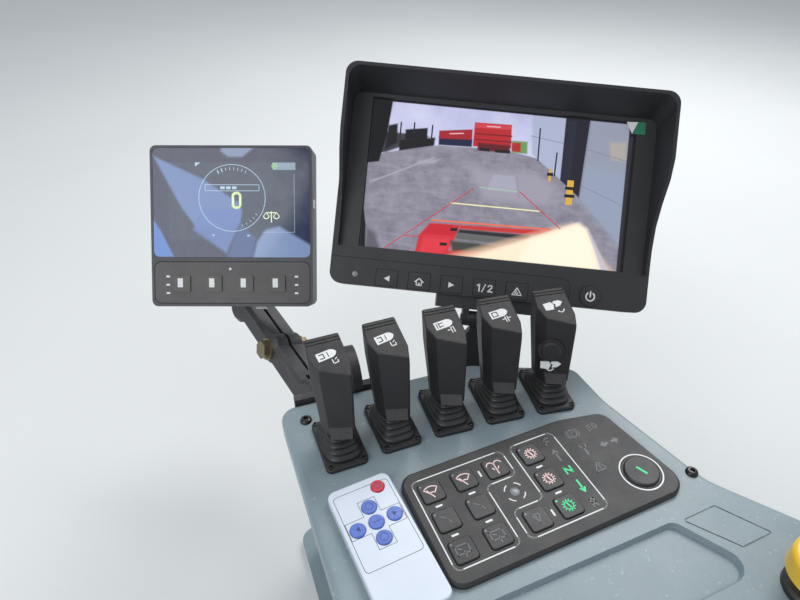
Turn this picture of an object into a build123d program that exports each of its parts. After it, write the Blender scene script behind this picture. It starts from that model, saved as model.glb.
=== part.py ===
from build123d import *
import math
import os

# Operator control console from a forklift cab: a painted console with five fingertip levers, a keypad,
# a hand-held remote lying on it, a round parking-brake knob, a small vehicle display on a ball arm
# and a camera monitor with a sun hood on a tilting post.
# Millimetres. +X is outboard (the operator's right), +Y forward, +Z up from the floor of the base plate.
# The origin is the middle of the base plate's bolt pattern, on its underside.

# Console body
console_height = 160.0      # top face of the cover above the underside of the base plate
datum_x = -40.0             # first key column of the keypad, from the origin
datum_y = 80.0              # far end of the first key column, from the origin
cover_thick = 3.0
cover_skirt = 16.0
cover_round = 4.0
shell_wall = 3.0
shell_taper = 5.0           # degrees that the side walls lean in towards the base
base_thick = 6.0
base_lip = 16.0
bolt_spacing_x = 170.0
bolt_spacing_y = 210.0
bolt_hole_r = 4.5

# Plan of the cover, from the keypad datum. Columns: x, y, corner radius
cover_outline = [
    (-68.0, 86.0, 11.0),
    (78.0, 73.0, 16.0),
    (149.0, 38.0, 10.0),
    (149.0, 2.0, 60.0),
    (164.5, -77.0, 40.0),
    (206.0, -138.0, 40.0),
    (206.0, -206.0, 26.0),
    (-80.0, -206.0, 26.0),
]

# Storage tray pressed into the cover. Columns: x, y, corner radius
tray_outline = [(-60.0, -89.0, 12.0), (123.0, -92.0, 8.0), (147.0, -134.0, 10.0), (-60.0, -134.0, 12.0)]
tray_depth = 4.0

# Blanking panel scored into the cover beside the tray. Columns: x, y
blank_outline = [(129.0, -94.0), (153.5, -94.0), (170.5, -120.5), (148.0, -120.5)]
score_wide = 0.8
score_deep = 0.5

# Keypad
keypad_high = 4.0
keypad_round = 1.5
keypad_pocket = 1.2
key_size = 14.4
key_corner = 2.6
key_proud = 1.1
key_gap = 0.3
# Columns: x, y, corner radius
keypad_outline = [(-15.5, -2.5, 10.0), (104.0, -2.5, 50.0), (137.0, -9.0, 9.0), (149.0, -79.8, 13.0),
                  (-15.5, -79.8, 10.0)]
# Key centres. Columns: x, y
key_places = [(0.0, -20.4), (0.0, -40.8), (0.0, -61.2),
              (22.2, -20.4), (22.2, -40.8), (22.2, -61.2),
              (44.4, -20.4), (48.8, -61.2),
              (70.5, -20.4), (70.5, -40.8), (70.5, -61.2)]
start_x = 126.9
start_y = -59.1
start_ring_r = 12.4
start_button_r = 11.0
start_button_high = 1.6
key_edge = 0.5              # bevel round the top of a key
cap_edge = 0.9

# Remote control card
remote_wide = 40.0
remote_long = 86.0
remote_thick = 6.5
remote_corner = 5.0
remote_x = -37.9
remote_y = -40.0
remote_turn = 2.5
remote_key_high = 1.0
remote_key_deep = 0.5       # pocket that each button stands in
remote_edge = 1.2
# Buttons from the middle of the card. Columns: x, y, radius
remote_keys = [(10.3, 34.4, 4.2), (0.0, 23.6, 4.6), (-11.8, 12.5, 4.6), (0.0, 12.9, 4.6),
               (11.8, 13.3, 4.6), (0.0, 2.2, 4.6)]

# Fingertip levers
lever_base_wide = 28.0
lever_base_deep = 43.0
lever_base_thick = 3.5
lever_base_corner = 4.0
lever_base_edge = 1.0
lever_box_wide = 22.0
lever_box_deep = 28.0
lever_box_high = 34.0
lever_box_wall = 2.5
lever_slot_wide = 17.0
pivot_drop = 13.0           # lever pivot below the cover's top face
pivot_back = -4.0           # lever pivot from the middle of its base, towards the operator
pivot_pin_r = 2.5
running_gap = 0.06
hub_r = 5.0
stem_r = 4.0
lever_lean = 12.0           # degrees that a lever at rest leans away from the operator
handle_low = 30.0           # underside of the grip, up the lever from its pivot
handle_high = 92.0          # top of the grip at its far side, up the lever
handle_top_slope = 19.5
handle_round = 1.2
bellows_gap = 0.3
# Ribs from the flange up. Columns: width, front and back edge from the middle of the flange
bellows_ribs = [(25.0, -18.0, 18.0), (23.4, -14.8, 16.0), (21.8, -11.6, 14.0), (20.2, -8.4, 12.0)]
rib_high = 3.4
rib_step = 2.9
rib_corner = 8.0
rib_edge = 1.2
stem_clearance = 2.0        # round the stem inside its bellows
# Levers: near edge of each base from the keypad datum. Columns: x, y, turn about the vertical
lever_places = [(-39.3, 18.2, -2.4), (-1.2, 18.7, -2.5), (36.2, 16.3, -7.1), (73.6, 11.8, -8.7),
                (110.4, 5.2, -11.5)]
collar_r = 8.5              # thumb button of the last lever
collar_high = 1.8
button_up = 26.0
# Grip sections seen down the lever, at its widest and at its underside, from its axis. Columns: x, y
grip_section = [(-11.0, 11.0), (11.0, 11.0), (12.4, -8.5), (10.0, -16.7), (-8.0, -9.7), (-12.2, -1.0)]
grip_low_section = [(-9.0, 8.5), (9.0, 8.5), (10.2, -7.0), (8.2, -15.0), (-7.0, -9.1), (-10.0, -1.0)]
grip_wide_from = 70.0       # up the lever, where the grip reaches its full width
# Lip that stands out in front at the grip's foot: its plan at the foot and at its top. Columns: x, y
lip_foot = [(-7.6, -13.6), (5.2, -18.6), (7.4, -8.0), (-5.6, -4.0)]
lip_crest = [(-6.6, -9.0), (7.0, -14.0), (6.8, -8.0), (-5.2, -4.0)]
lip_low = 30.6
lip_top = 37.0              # up the lever, where the lip meets the front of the grip
# Grooves across the far end of the top face: distance down the slope
top_grooves = [1.8, 4.0, 6.2]
groove_wide = 1.0
# Blanks on the front of the grip: height up the lever, width, height
round_blank = (56.0, 6.2)
flat_blank = (43.6, 12.0, 9.6)
blank_deep = 0.5
blank_corner = 2.0
cutter = 100.0              # side of a block that cuts a grip, larger than any grip

# Parking-brake knob
brake_x = 161.0
brake_y = -153.0
brake_knob_r = 18.0
brake_knob_high = 13.0
brake_stem_r = 6.0
brake_lift = 15.0           # underside of the knob above the cover
brake_bezel_r = 15.0
brake_bezel_high = 5.0

# Camera monitor: middle of its picture, from the keypad datum and the cover's top face
screen_x = 132.3
screen_y = 144.6
screen_z = 106.0
screen_turn = -24.7         # about the vertical
screen_lean = 37.7          # degrees that the picture looks up
screen_roll = -5.0          # about the line straight out of the picture
screen_wide = 203.0
screen_high = 115.4
monitor_wide = 243.0
monitor_up = 64.0           # top of the case above the middle of the picture
monitor_down = 87.5         # bottom of the case below it
monitor_thick = 30.0
monitor_corner = 9.0
monitor_bezel = 4.0         # frame in front of the glass
glass_thick = 2.0
glass_gap = 0.2             # between a glass and its frame
hood_wall = 2.5
hood_out = 29.0
hood_low = -58.5
# Hood outline at the case and at its rim, from the middle of the picture.
# Columns: half width, top, corner radius
hood_root = (118.5, 63.0, 7.0)
hood_rim = (120.5, 72.6, 9.0)
# Free edge of the hood's wings, down from the full depth. Columns: height, distance out of the case
wing_edge = [(25.0, 29.0), (10.0, 25.0), (-6.0, 16.5), (-22.0, 10.0), (-40.0, 7.0), (-64.0, 6.0)]
monitor_key_wide = 16.4
monitor_key_high = 12.4
monitor_key_row = -80.0
# Key centres along the strip
monitor_key_places = [-77.4, -52.4, -27.5, -2.5, 22.5]
power_key_x = 78.5
power_key_row = -78.3
power_key_r = 8.0
monitor_key_proud = 0.6
pocket_deep = 1.0           # pockets that the keys of both screens stand in
key_round = 1.0
foot_block_wide = 75.0
foot_block_deep = 20.0
foot_block_high = 10.0
knuckle_r = 6.0
knuckle_wide = 22.0
ear_wide = 5.0
tilt_pin_r = 3.0
tilt_drop = 7.0             # tilt axis below the foot block
post_thick = 5.0
post_wide_top = 32.0
post_wide_low = 18.0
post_neck_wide = 19.0       # post between the knuckle's ears
post_foot_r = 17.0
shelf_drop = 70.0           # top of the shelf below the cover's top face
shelf_wide = 44.0
shelf_thick = 6.0
shelf_reach = 110.0         # from the swivel axis into the console, before the console is cut away
shelf_flange_high = 40.0
swivel_pin_r = 5.0

# Vehicle display
face_x = -61.4
face_y = 226.1
face_z = 70.3
display_turn = -23.5
display_lean = 34.6
display_wide = 130.0
display_high = 129.0
display_thick = 26.0
display_corner = 5.0
display_split = 27.0        # below the middle of the face, where the key panel starts
display_edge = 2.0          # rim of the case round the glass
glass_corner = 4.5
display_key = 13.0
display_key_row = -46.0
display_key_proud = 1.2
display_key_places = [-40.3, -15.0, 10.4, 36.2]

# Ball arm
ball_r = 12.5
ball_stem_r = 5.0
ball_gap = 0.3
foot_plate_from = 12.0      # along the cover's far side, from its left corner
foot_plate_wide = 62.0
foot_plate_thick = 5.0
foot_plate_up = 4.0
foot_plate_down = 44.0
foot_disc_r = 18.0
foot_disc_thick = 7.0
foot_disc_from = 54.5
foot_disc_up = 6.0
foot_disc_reach = 16.0      # middle of the disc behind the cover's far side
low_ball_from = 33.0
low_ball_reach = 27.0
low_ball_down = 27.0
top_ball_side = 2.4         # upper ball from the middle of the display's face
top_ball_down = 66.0
top_ball_back = 56.0
neck_up = 26.0              # neck's elbow above the upper ball
neck_r = 8.0
mount_plate = 50.0
mount_plate_up = 14.0       # from the lower end of the case
mount_plate_thick = 4.0
arm_half_thick = 14.5
arm_end_r = 15.5
arm_waist_r = 9.0
arm_split = 3.0
arm_jaw = 12.4              # gap between the halves at each ball, wider than its stem
arm_jaw_long = 17.5         # from the ball's middle towards the arm's middle
arm_bolt_r = 4.0
bolt_head_flats = 13.0
bolt_head_high = 5.3
washer_r = 9.0
washer_thick = 1.6
star_knob_r = 8.5
star_knob_long = 14.0
star_knob_down = 13.0
clamp_boss_r = 5.0
clamp_screw_r = 1.5
clamp_screw_long = 12.0
web_up = 14.0               # lower edge of the disc's web above the foot plate's
rib_thick = 6.0


def on_panel(x, y, z=0.0):
    """A place given from the keypad datum and the cover's top face."""
    return Pos(datum_x + x, datum_y + y, console_height + z)


def outline_face(rows, inset=0.0):
    """A face with its corners rounded, from rows of x, y, radius, drawn in by inset."""
    line = FilletPolyline(*[(x, y) for x, y, r in rows], radius=[r for x, y, r in rows], close=True)
    face = make_face(line)
    return offset(face, amount=-inset) if inset else face


def rounded_slab(wide, deep, high, corner):
    """A slab standing on z = 0 with rounded corners."""
    return extrude(RectangleRounded(wide, deep, corner), amount=high)


def save(shape, node):
    """Write one node."""
    shape.label = node
    export_step(shape, f"parts/{node}.step")


def lever_place(row):
    """Frame of one lever: middle of its base on the cover's top face, +Y away from the operator."""
    x, y, turn = row
    return on_panel(x, y) * Rot(0, 0, turn) * Pos(0, lever_base_deep / 2, 0)


def lever_axis(row):
    """Frame of one lever's pivot, its +Z up the leaning lever."""
    return lever_place(row) * Pos(0, pivot_back, -pivot_drop) * Rot(-lever_lean, 0, 0)


def monitor_place():
    """Frame of the monitor: middle of its picture, +X along it, +Y up it, +Z out of it."""
    turned = on_panel(screen_x, screen_y, screen_z) * Rot(0, 0, screen_turn)
    return turned * Rot(90 - screen_lean, 0, 0) * Rot(0, 0, screen_roll)


def display_place():
    """Frame of the vehicle display: middle of its face, +X along it, +Y up it, +Z out of it."""
    return on_panel(face_x, face_y, face_z) * Rot(0, 0, display_turn) * Rot(90 - display_lean, 0, 0)


def tilt_place():
    """Frame of the monitor's tilt axis, +X along the axis, turned with the monitor."""
    down = monitor_down + foot_block_high + tilt_drop
    return monitor_place() * Pos(0, -down, monitor_bezel - monitor_thick / 2)


def post_place():
    """Frame of the monitor's post: on the swivel axis at the shelf's top, +X along the monitor."""
    axis = tilt_place().position
    return Pos(axis.X, axis.Y, console_height - shelf_drop) * Rot(0, 0, screen_turn)


def far_side_place():
    """Frame on the cover's far side: its left corner at the top face, +X along the side, +Y out of it."""
    (x1, y1, r1), (x2, y2, r2) = cover_outline[:2]
    return on_panel(x1, y1) * Rot(0, 0, math.degrees(math.atan2(y2 - y1, x2 - x1)))


def low_ball_place():
    return far_side_place() * Pos(low_ball_from, low_ball_reach, -low_ball_down)


def top_ball_place():
    return display_place() * Pos(top_ball_side, -top_ball_down, -top_ball_back)


def arm_place():
    """Frame midway between the balls, +X towards the upper one, its XY plane along the upper stem."""
    low, top = low_ball_place().position, top_ball_place().position
    along = top - low
    stem = (top_ball_place() * Pos(0, neck_up, 0)).position - top
    return Location(Plane(origin=(low + top) * 0.5, x_dir=along, z_dir=stem.cross(along)))


def arm_length():
    return (top_ball_place().position - low_ball_place().position).length


def shell_envelope(grow=0.0):
    """The shell's outer form as a solid, grown outwards."""
    high = console_height - cover_thick - base_thick
    body = extrude(outline_face(cover_outline, shell_wall - grow), amount=-high, taper=shell_taper)
    return Pos(datum_x, datum_y, console_height - cover_thick) * body


def make_cover():
    place = on_panel(0, 0)
    body = extrude(outline_face(cover_outline), amount=-cover_skirt)
    top_edges = body.faces().sort_by(Axis.Z)[-1].edges()
    body = fillet(top_edges, cover_round)
    hollow = Pos(0, 0, -cover_thick) * extrude(outline_face(cover_outline, shell_wall), amount=-cover_skirt)
    body -= hollow
    body += extrude(outline_face(tray_outline, -cover_thick), amount=-tray_depth - cover_thick)
    body -= extrude(outline_face(tray_outline), amount=-tray_depth, taper=20)
    score = outline_face([(x, y, 1.0) for x, y in blank_outline])
    ring = offset(score, amount=score_wide / 2) - offset(score, amount=-score_wide / 2)
    body -= extrude(ring, amount=-score_deep)
    for row in lever_places:
        hole = extrude(Rectangle(lever_box_wide + 2 * key_gap, lever_box_deep + 2 * key_gap),
                       amount=-cover_skirt)
        body -= place.inverse() * lever_place(row) * hole
    body -= Pos(brake_x, brake_y, 0) * Cylinder(brake_stem_r + 1, 2 * cover_skirt)
    return place * body


def make_shell():
    top = console_height - cover_thick
    high = top - base_thick
    outer = outline_face(cover_outline, shell_wall)
    inner = outline_face(cover_outline, 2 * shell_wall)
    lean = math.tan(math.radians(shell_taper))
    body = extrude(outer, amount=-high, taper=shell_taper)
    hollow = Pos(0, 0, 1) * extrude(inner, amount=-high - 2, taper=shell_taper)
    return Pos(datum_x, datum_y, top) * (body - hollow)


def make_base():
    drop = console_height - cover_thick - base_thick
    inset = shell_wall + drop * math.tan(math.radians(shell_taper)) - base_lip
    body = Pos(datum_x, datum_y, 0) * extrude(outline_face(cover_outline, inset), amount=base_thick)
    hole = Cylinder(bolt_hole_r, 4 * base_thick)
    for x in (-bolt_spacing_x / 2, bolt_spacing_x / 2):
        for y in (-bolt_spacing_y / 2, bolt_spacing_y / 2):
            body -= Pos(x, y, 0) * hole
    return body


def make_keypad():
    body = extrude(outline_face(keypad_outline), amount=keypad_high)
    body = chamfer(body.faces().sort_by(Axis.Z)[-1].edges(), keypad_round)
    pocket = extrude(RectangleRounded(key_size + 2 * key_gap, key_size + 2 * key_gap, key_corner),
                     amount=-keypad_pocket)
    for x, y in key_places:
        body -= Pos(x, y, keypad_high) * pocket
    body -= Pos(start_x, start_y, keypad_high - keypad_pocket) * Cylinder(
        start_ring_r, keypad_pocket, align=(Align.CENTER, Align.CENTER, Align.MIN))
    return on_panel(0, 0) * body


def make_keys():
    high = keypad_pocket + key_proud
    key = rounded_slab(key_size, key_size, high, key_corner)
    key = chamfer(key.faces().sort_by(Axis.Z)[-1].edges(), key_edge)
    floor = keypad_high - keypad_pocket
    return on_panel(0, 0) * Compound([Pos(x, y, floor) * key for x, y in key_places])


def make_start_button():
    floor = keypad_high - keypad_pocket
    ring = Cylinder(start_ring_r - key_gap, keypad_pocket, align=(Align.CENTER, Align.CENTER, Align.MIN))
    cap = Cylinder(start_button_r, keypad_pocket + start_button_high,
                   align=(Align.CENTER, Align.CENTER, Align.MIN))
    cap = chamfer(cap.faces().sort_by(Axis.Z)[-1].edges(), cap_edge)
    return on_panel(start_x, start_y, floor) * (ring + cap)


def make_remote():
    body = rounded_slab(remote_wide, remote_long, remote_thick, remote_corner)
    body = fillet(body.faces().sort_by(Axis.Z)[-1].edges(), remote_edge)
    for x, y, r in remote_keys:
        body -= Pos(x, y, remote_thick) * Cylinder(r + key_gap, 2 * remote_key_deep)
    return on_panel(remote_x, remote_y) * Rot(0, 0, remote_turn) * body


def make_remote_keys():
    keys = []
    for x, y, r in remote_keys:
        key = Cylinder(r, remote_key_deep + remote_key_high, align=(Align.CENTER, Align.CENTER, Align.MIN))
        key = chamfer(key.faces().sort_by(Axis.Z)[-1].edges(), key_edge)
        keys.append(Pos(x, y, remote_thick - remote_key_deep) * key)
    return on_panel(remote_x, remote_y) * Rot(0, 0, remote_turn) * Compound(keys)


def make_lever_base(row):
    """Flange on the cover and the box under it that carries the pivot pin."""
    flange = rounded_slab(lever_base_wide, lever_base_deep, lever_base_thick, lever_base_corner)
    flange = chamfer(flange.faces().sort_by(Axis.Z)[-1].edges(), lever_base_edge)
    box = Box(lever_box_wide, lever_box_deep, lever_box_high, align=(Align.CENTER, Align.CENTER, Align.MAX))
    well = Box(lever_slot_wide, lever_box_deep - 2 * lever_box_wall,
               lever_box_high - lever_box_wall + 2 * lever_base_thick,
               align=(Align.CENTER, Align.CENTER, Align.MAX))
    body = flange + box - Pos(0, 0, 2 * lever_base_thick) * well
    pin = Pos(0, pivot_back, -pivot_drop) * Rot(0, 90, 0) * Cylinder(pivot_pin_r, lever_box_wide - 1)
    return lever_place(row) * (body + pin)


def grip_turn():
    """Degrees that the front of a grip is turned towards the operator."""
    (x1, y1), (x2, y2) = grip_section[4], grip_section[3]
    return math.degrees(math.atan2(y2 - y1, x2 - x1))


def grip_front():
    """Distance from a lever's axis to the front of its grip."""
    turn = math.radians(grip_turn())
    x, y = grip_section[3]
    return x * math.sin(turn) - y * math.cos(turn)


def make_lever_handle(row):
    """Hub on the pin, stem and grip, drawn up the lever from its pivot."""
    hub = Rot(0, 90, 0) * Cylinder(hub_r, lever_slot_wide - 3)
    stem = Cylinder(stem_r, handle_low + 4, align=(Align.CENTER, Align.CENTER, Align.MIN))
    levels = ((handle_low, grip_low_section), (grip_wide_from, grip_section),
              (handle_high + handle_low, grip_section))
    grip = loft([Pos(0, 0, up) * make_face(Polyline(*rows, close=True)) for up, rows in levels], ruled=True)
    top = Pos(0, grip_section[0][1], handle_high) * Rot(handle_top_slope + lever_lean, 0, 0)
    grip -= top * Box(cutter, cutter, cutter, align=(Align.CENTER, Align.CENTER, Align.MIN))
    front = Rot(0, 0, grip_turn())
    grip = fillet(grip.edges(), handle_round)
    ends = ((lip_low, lip_foot), (lip_top, lip_crest))
    grip += loft([Pos(0, 0, up) * make_face(Polyline(*rows, close=True)) for up, rows in ends], ruled=True)
    for down in top_grooves:
        grip -= top * Pos(0, -down, 0) * Box(cutter, groove_wide, groove_wide)
    face = front * Pos(0, -grip_front(), 0) * Rot(90, 0, 0)
    grip -= face * Pos(0, round_blank[0], -blank_deep) * Cylinder(
        round_blank[1], cutter, align=(Align.CENTER, Align.CENTER, Align.MIN))
    grip -= face * Pos(0, flat_blank[0], -blank_deep) * rounded_slab(
        flat_blank[1], flat_blank[2], cutter, blank_corner)
    bore = Rot(0, 90, 0) * Cylinder(pivot_pin_r + running_gap, lever_box_wide)
    return lever_axis(row) * (hub + stem + grip - bore)


def make_bellows(row):
    """Ribbed boot between the flange and the grip, with a clear hole for the stem."""
    low = lever_base_thick + bellows_gap
    place = lever_place(row)
    body = None
    for i, (wide, front, back) in enumerate(bellows_ribs):
        rib = rounded_slab(wide, back - front, rib_high, rib_corner)
        flats = rib.faces().sort_by(Axis.Z)
        rib = chamfer(flats[-1].edges() + flats[0].edges(), rib_edge)
        rib = Pos(0, (front + back) / 2, low + i * rib_step) * rib
        body = rib if body is None else body + rib
    pivot = Pos(0, pivot_back, -pivot_drop) * Rot(-lever_lean, 0, 0)
    hole = pivot * Cylinder(stem_r + stem_clearance, cutter, align=(Align.CENTER, Align.CENTER, Align.MIN))
    above = pivot * Pos(0, 0, handle_low - bellows_gap) * Box(
        cutter, cutter, cutter, align=(Align.CENTER, Align.CENTER, Align.MIN))
    return place * (body - hole - above)


def make_lever_button(row):
    """Dome push button in its collar on the front of the last lever's grip."""
    middle = Rot(0, 0, grip_turn()) * Pos(0, -grip_front(), handle_low + button_up)
    collar = Cylinder(collar_r, collar_high, align=(Align.CENTER, Align.CENTER, Align.MIN))
    cap = Cylinder(collar_r - 1.9, 2 * collar_high, align=(Align.CENTER, Align.CENTER, Align.MIN))
    cap = chamfer(cap.faces().sort_by(Axis.Z)[-1].edges(), 1.0)
    return lever_axis(row) * middle * Rot(90, 0, 0) * (collar + cap)


def make_brake_bezel():
    body = Cylinder(brake_bezel_r, brake_bezel_high, align=(Align.CENTER, Align.CENTER, Align.MIN))
    body = chamfer(body.faces().sort_by(Axis.Z)[-1].edges(), 1.5)
    body -= Cylinder(brake_stem_r + 0.3, 4 * brake_bezel_high)
    return on_panel(brake_x, brake_y) * body


def make_brake_knob():
    knob = Cylinder(brake_knob_r, brake_knob_high, align=(Align.CENTER, Align.CENTER, Align.MIN))
    knob = fillet(knob.faces().sort_by(Axis.Z)[-1].edges(), 3.5)
    knob = Pos(0, 0, brake_lift) * knob
    stem = Pos(0, 0, -cover_skirt) * Cylinder(brake_stem_r, brake_lift + cover_skirt + 2,
                                              align=(Align.CENTER, Align.CENTER, Align.MIN))
    return on_panel(brake_x, brake_y) * (knob + stem)


def make_monitor_case():
    high = monitor_up + monitor_down
    body = Pos(0, (monitor_up - monitor_down) / 2, monitor_bezel - monitor_thick) * rounded_slab(
        monitor_wide, high, monitor_thick, monitor_corner)
    body = fillet(body.faces().sort_by(Axis.Z)[0].edges(), 5.0)
    window = Box(screen_wide, screen_high, monitor_bezel + glass_thick,
                 align=(Align.CENTER, Align.CENTER, Align.MIN))
    body -= Pos(0, 0, -glass_thick) * window
    for x in monitor_key_places:
        body -= Pos(x, monitor_key_row, monitor_bezel) * Box(
            monitor_key_wide + 2 * key_gap, monitor_key_high + 2 * key_gap, 2 * pocket_deep)
    body -= Pos(power_key_x, power_key_row, monitor_bezel) * Cylinder(power_key_r + key_gap, 2 * pocket_deep)
    return monitor_place() * body


def make_monitor_glass():
    body = Box(screen_wide - 2 * glass_gap, screen_high - 2 * glass_gap, glass_thick,
               align=(Align.CENTER, Align.CENTER, Align.MAX))
    return monitor_place() * body


def make_monitor_keys():
    key = rounded_slab(monitor_key_wide, monitor_key_high, pocket_deep + monitor_key_proud, key_round)
    keys = [Pos(x, monitor_key_row, monitor_bezel - pocket_deep) * key for x in monitor_key_places]
    keys.append(Pos(power_key_x, power_key_row, monitor_bezel - pocket_deep) * Cylinder(
        power_key_r, pocket_deep + monitor_key_proud, align=(Align.CENTER, Align.CENTER, Align.MIN)))
    return monitor_place() * Compound(keys)


def hood_form(inset):
    """The hood's outline swept from the case to beyond its rim, drawn in by inset and open below."""
    faces = []
    for out, (half, top, corner) in ((0, hood_root), (hood_out, hood_rim)):
        rows = [(-half + inset, hood_low - inset, 2.0), (-half + inset, top - inset, corner),
                (half - inset, top - inset, corner), (half - inset, hood_low - inset, 2.0)]
        faces.append(Pos(0, 0, out) * outline_face(rows))
    return loft(faces, ruled=True)


def make_monitor_hood():
    """Roof and two tapering side wings that stand out from the front of the case."""
    body = hood_form(0) - hood_form(hood_wall)
    low, high = wing_edge[-1][0], wing_edge[0][0]
    side = Polyline(*wing_edge, (low, 2 * hood_out), (high, 2 * hood_out), close=True)
    cut = extrude(Plane.YZ * make_face(side), amount=monitor_wide, both=True)
    return monitor_place() * Pos(0, 0, monitor_bezel) * (body - cut)


def make_foot_block():
    """Block under the monitor's case with the two ears of its tilt knuckle."""
    middle = monitor_bezel - monitor_thick / 2
    place = monitor_place() * Pos(0, -monitor_down, middle)
    body = Pos(0, -foot_block_high / 2, 0) * Box(foot_block_wide, foot_block_high, foot_block_deep)
    for side in (-1, 1):
        x = side * (knuckle_wide / 2 + running_gap + ear_wide / 2)
        ear = Pos(x, -foot_block_high - tilt_drop / 2, 0) * Box(ear_wide, tilt_drop, 2 * knuckle_r)
        body += ear + Pos(x, -foot_block_high - tilt_drop, 0) * Rot(0, 90, 0) * Cylinder(knuckle_r, ear_wide)
    bore = Rot(0, 90, 0) * Cylinder(tilt_pin_r + running_gap, 2 * knuckle_wide)
    return place * (body - Pos(0, -foot_block_high - tilt_drop, 0) * bore)


def make_post():
    """Tapered plate from the swivel foot up to the barrel and pin of the tilt knuckle."""
    place = post_place()
    top = tilt_place().position.Z - place.position.Z
    low = ball_gap
    shoulder = top - 2 * knuckle_r - 8
    neck = top - knuckle_r - 3
    side = Polyline((-post_neck_wide / 2, top), (post_neck_wide / 2, top), (post_neck_wide / 2, neck),
                    (post_wide_top / 2, shoulder), (post_wide_low / 2, low), (-post_wide_low / 2, low),
                    (-post_wide_top / 2, shoulder), (-post_neck_wide / 2, neck), close=True)
    body = extrude(Plane.XZ * make_face(side), amount=post_thick / 2, both=True)
    body += Pos(0, 0, low) * Cylinder(post_foot_r, post_thick, align=(Align.CENTER, Align.CENTER, Align.MIN))
    body -= Cylinder(swivel_pin_r + running_gap, 2 * post_thick + 2 * swivel_pin_r)
    barrel = Rot(0, 90, 0) * (Cylinder(knuckle_r, knuckle_wide) +
                              Cylinder(tilt_pin_r, knuckle_wide + 2 * ear_wide + 2))
    return place * body + tilt_place() * barrel


def make_shelf():
    """Bracket on the console's slanted far side, with the pin that the post swivels on."""
    place = post_place()
    middle = Pos(0, -shelf_reach / 2, 0)
    body = middle * Box(shelf_wide, shelf_reach, shelf_thick, align=(Align.CENTER, Align.CENTER, Align.MAX))
    body += Cylinder(shelf_wide / 2, shelf_thick, align=(Align.CENTER, Align.CENTER, Align.MAX))
    body = place * body - shell_envelope()
    near_wall = place * middle * Pos(0, 0, -shelf_flange_high / 2) * Box(
        shelf_wide, shelf_reach, shelf_flange_high)
    body += (shell_envelope(shelf_thick) - shell_envelope()) & near_wall
    body = body.solids().sort_by(Axis.Y)[-1]
    pin = Cylinder(swivel_pin_r, post_thick + 1.5, align=(Align.CENTER, Align.CENTER, Align.MIN))
    return body + place * pin


def make_display_case():
    body = rounded_slab(display_wide, display_high, display_thick, display_corner)
    body = Pos(0, 0, -display_thick) * body
    body = fillet(body.faces().sort_by(Axis.Z)[0].edges(), 3.0)
    wide, high = display_wide - 2 * display_edge, display_high / 2 + display_split - 2 * display_edge
    pocket = rounded_slab(wide, high, 2 * glass_thick, glass_corner)
    pocket = Pos(0, (display_high / 2 - display_split) / 2, -glass_thick) * pocket
    body -= pocket
    for x in display_key_places:
        body -= Pos(x, display_key_row, 0) * Box(
            display_key + 2 * key_gap, display_key + 2 * key_gap, 2 * pocket_deep)
    return display_place() * body


def make_display_glass():
    inset = 2 * (display_edge + glass_gap)
    wide, high = display_wide - inset, display_high / 2 + display_split - inset
    body = rounded_slab(wide, high, glass_thick, glass_corner)
    return display_place() * Pos(0, (display_high / 2 - display_split) / 2, -glass_thick) * body


def make_display_keys():
    key = rounded_slab(display_key, display_key, pocket_deep + display_key_proud, key_round)
    keys = [Pos(x, display_key_row, -pocket_deep) * key for x in display_key_places]
    return display_place() * Compound(keys)


def make_display_mount():
    """Plate on the display's back with a cranked neck to the upper ball."""
    back = -display_thick - mount_plate_thick
    plate = Pos(top_ball_side, -display_high / 2 + mount_plate / 2 + mount_plate_up, back) * rounded_slab(
        mount_plate, mount_plate, mount_plate_thick, 6.0)
    ball = Pos(top_ball_side, -top_ball_down, -top_ball_back)
    elbow = ball * Pos(0, neck_up, 0)
    boss = elbow * Cylinder(neck_r, back + top_ball_back + 1, align=(Align.CENTER, Align.CENTER, Align.MIN))
    stem = ball * Rot(-90, 0, 0) * Cylinder(
        ball_stem_r, neck_up, align=(Align.CENTER, Align.CENTER, Align.MIN))
    return display_place() * (plate + boss + elbow * Sphere(neck_r) + stem + ball * Sphere(ball_r))


def make_arm_half(side):
    """One half of the clamping arm, its sockets round both balls."""
    half = arm_length() / 2
    ends = [Pos(x, 0, 0) * Circle(arm_end_r) for x in (-half, half)]
    waist = Rectangle(arm_length(), 2 * arm_waist_r) + Circle(washer_r + 3)
    body = extrude(ends[0] + ends[1] + waist, amount=arm_half_thick)
    body = chamfer(body.faces().sort_by(Axis.Z)[-1].edges(), 3.0)
    body -= Box(2 * arm_length(), 4 * arm_end_r, arm_split)
    for turn in (0, 180):
        body -= Rot(0, 0, turn) * Pos(half - arm_jaw_long, 0, 0) * Box(
            4 * arm_end_r, 4 * arm_end_r, arm_jaw, align=(Align.MIN, Align.CENTER, Align.CENTER))
    for x in (-half, half):
        body -= Pos(x, 0, 0) * Sphere(ball_r + ball_gap)
    body -= Cylinder(arm_bolt_r + ball_gap, 4 * arm_half_thick)
    if side < 0:
        body = mirror(body, Plane.XY)
    return arm_place() * body


def make_arm_bolt():
    """Hex bolt with washers that draws the two halves together."""
    body = Cylinder(arm_bolt_r, 2 * arm_half_thick + 2 * washer_thick + 6)
    for side in (-1, 1):
        washer = Cylinder(washer_r, washer_thick, align=(Align.CENTER, Align.CENTER, Align.MIN))
        head = extrude(RegularPolygon(bolt_head_flats / 2, 6, major_radius=False), amount=bolt_head_high)
        stack = Pos(0, 0, arm_half_thick) * (washer + Pos(0, 0, washer_thick) * head)
        body += stack if side > 0 else mirror(stack, Plane.XY)
    return arm_place() * body


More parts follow.
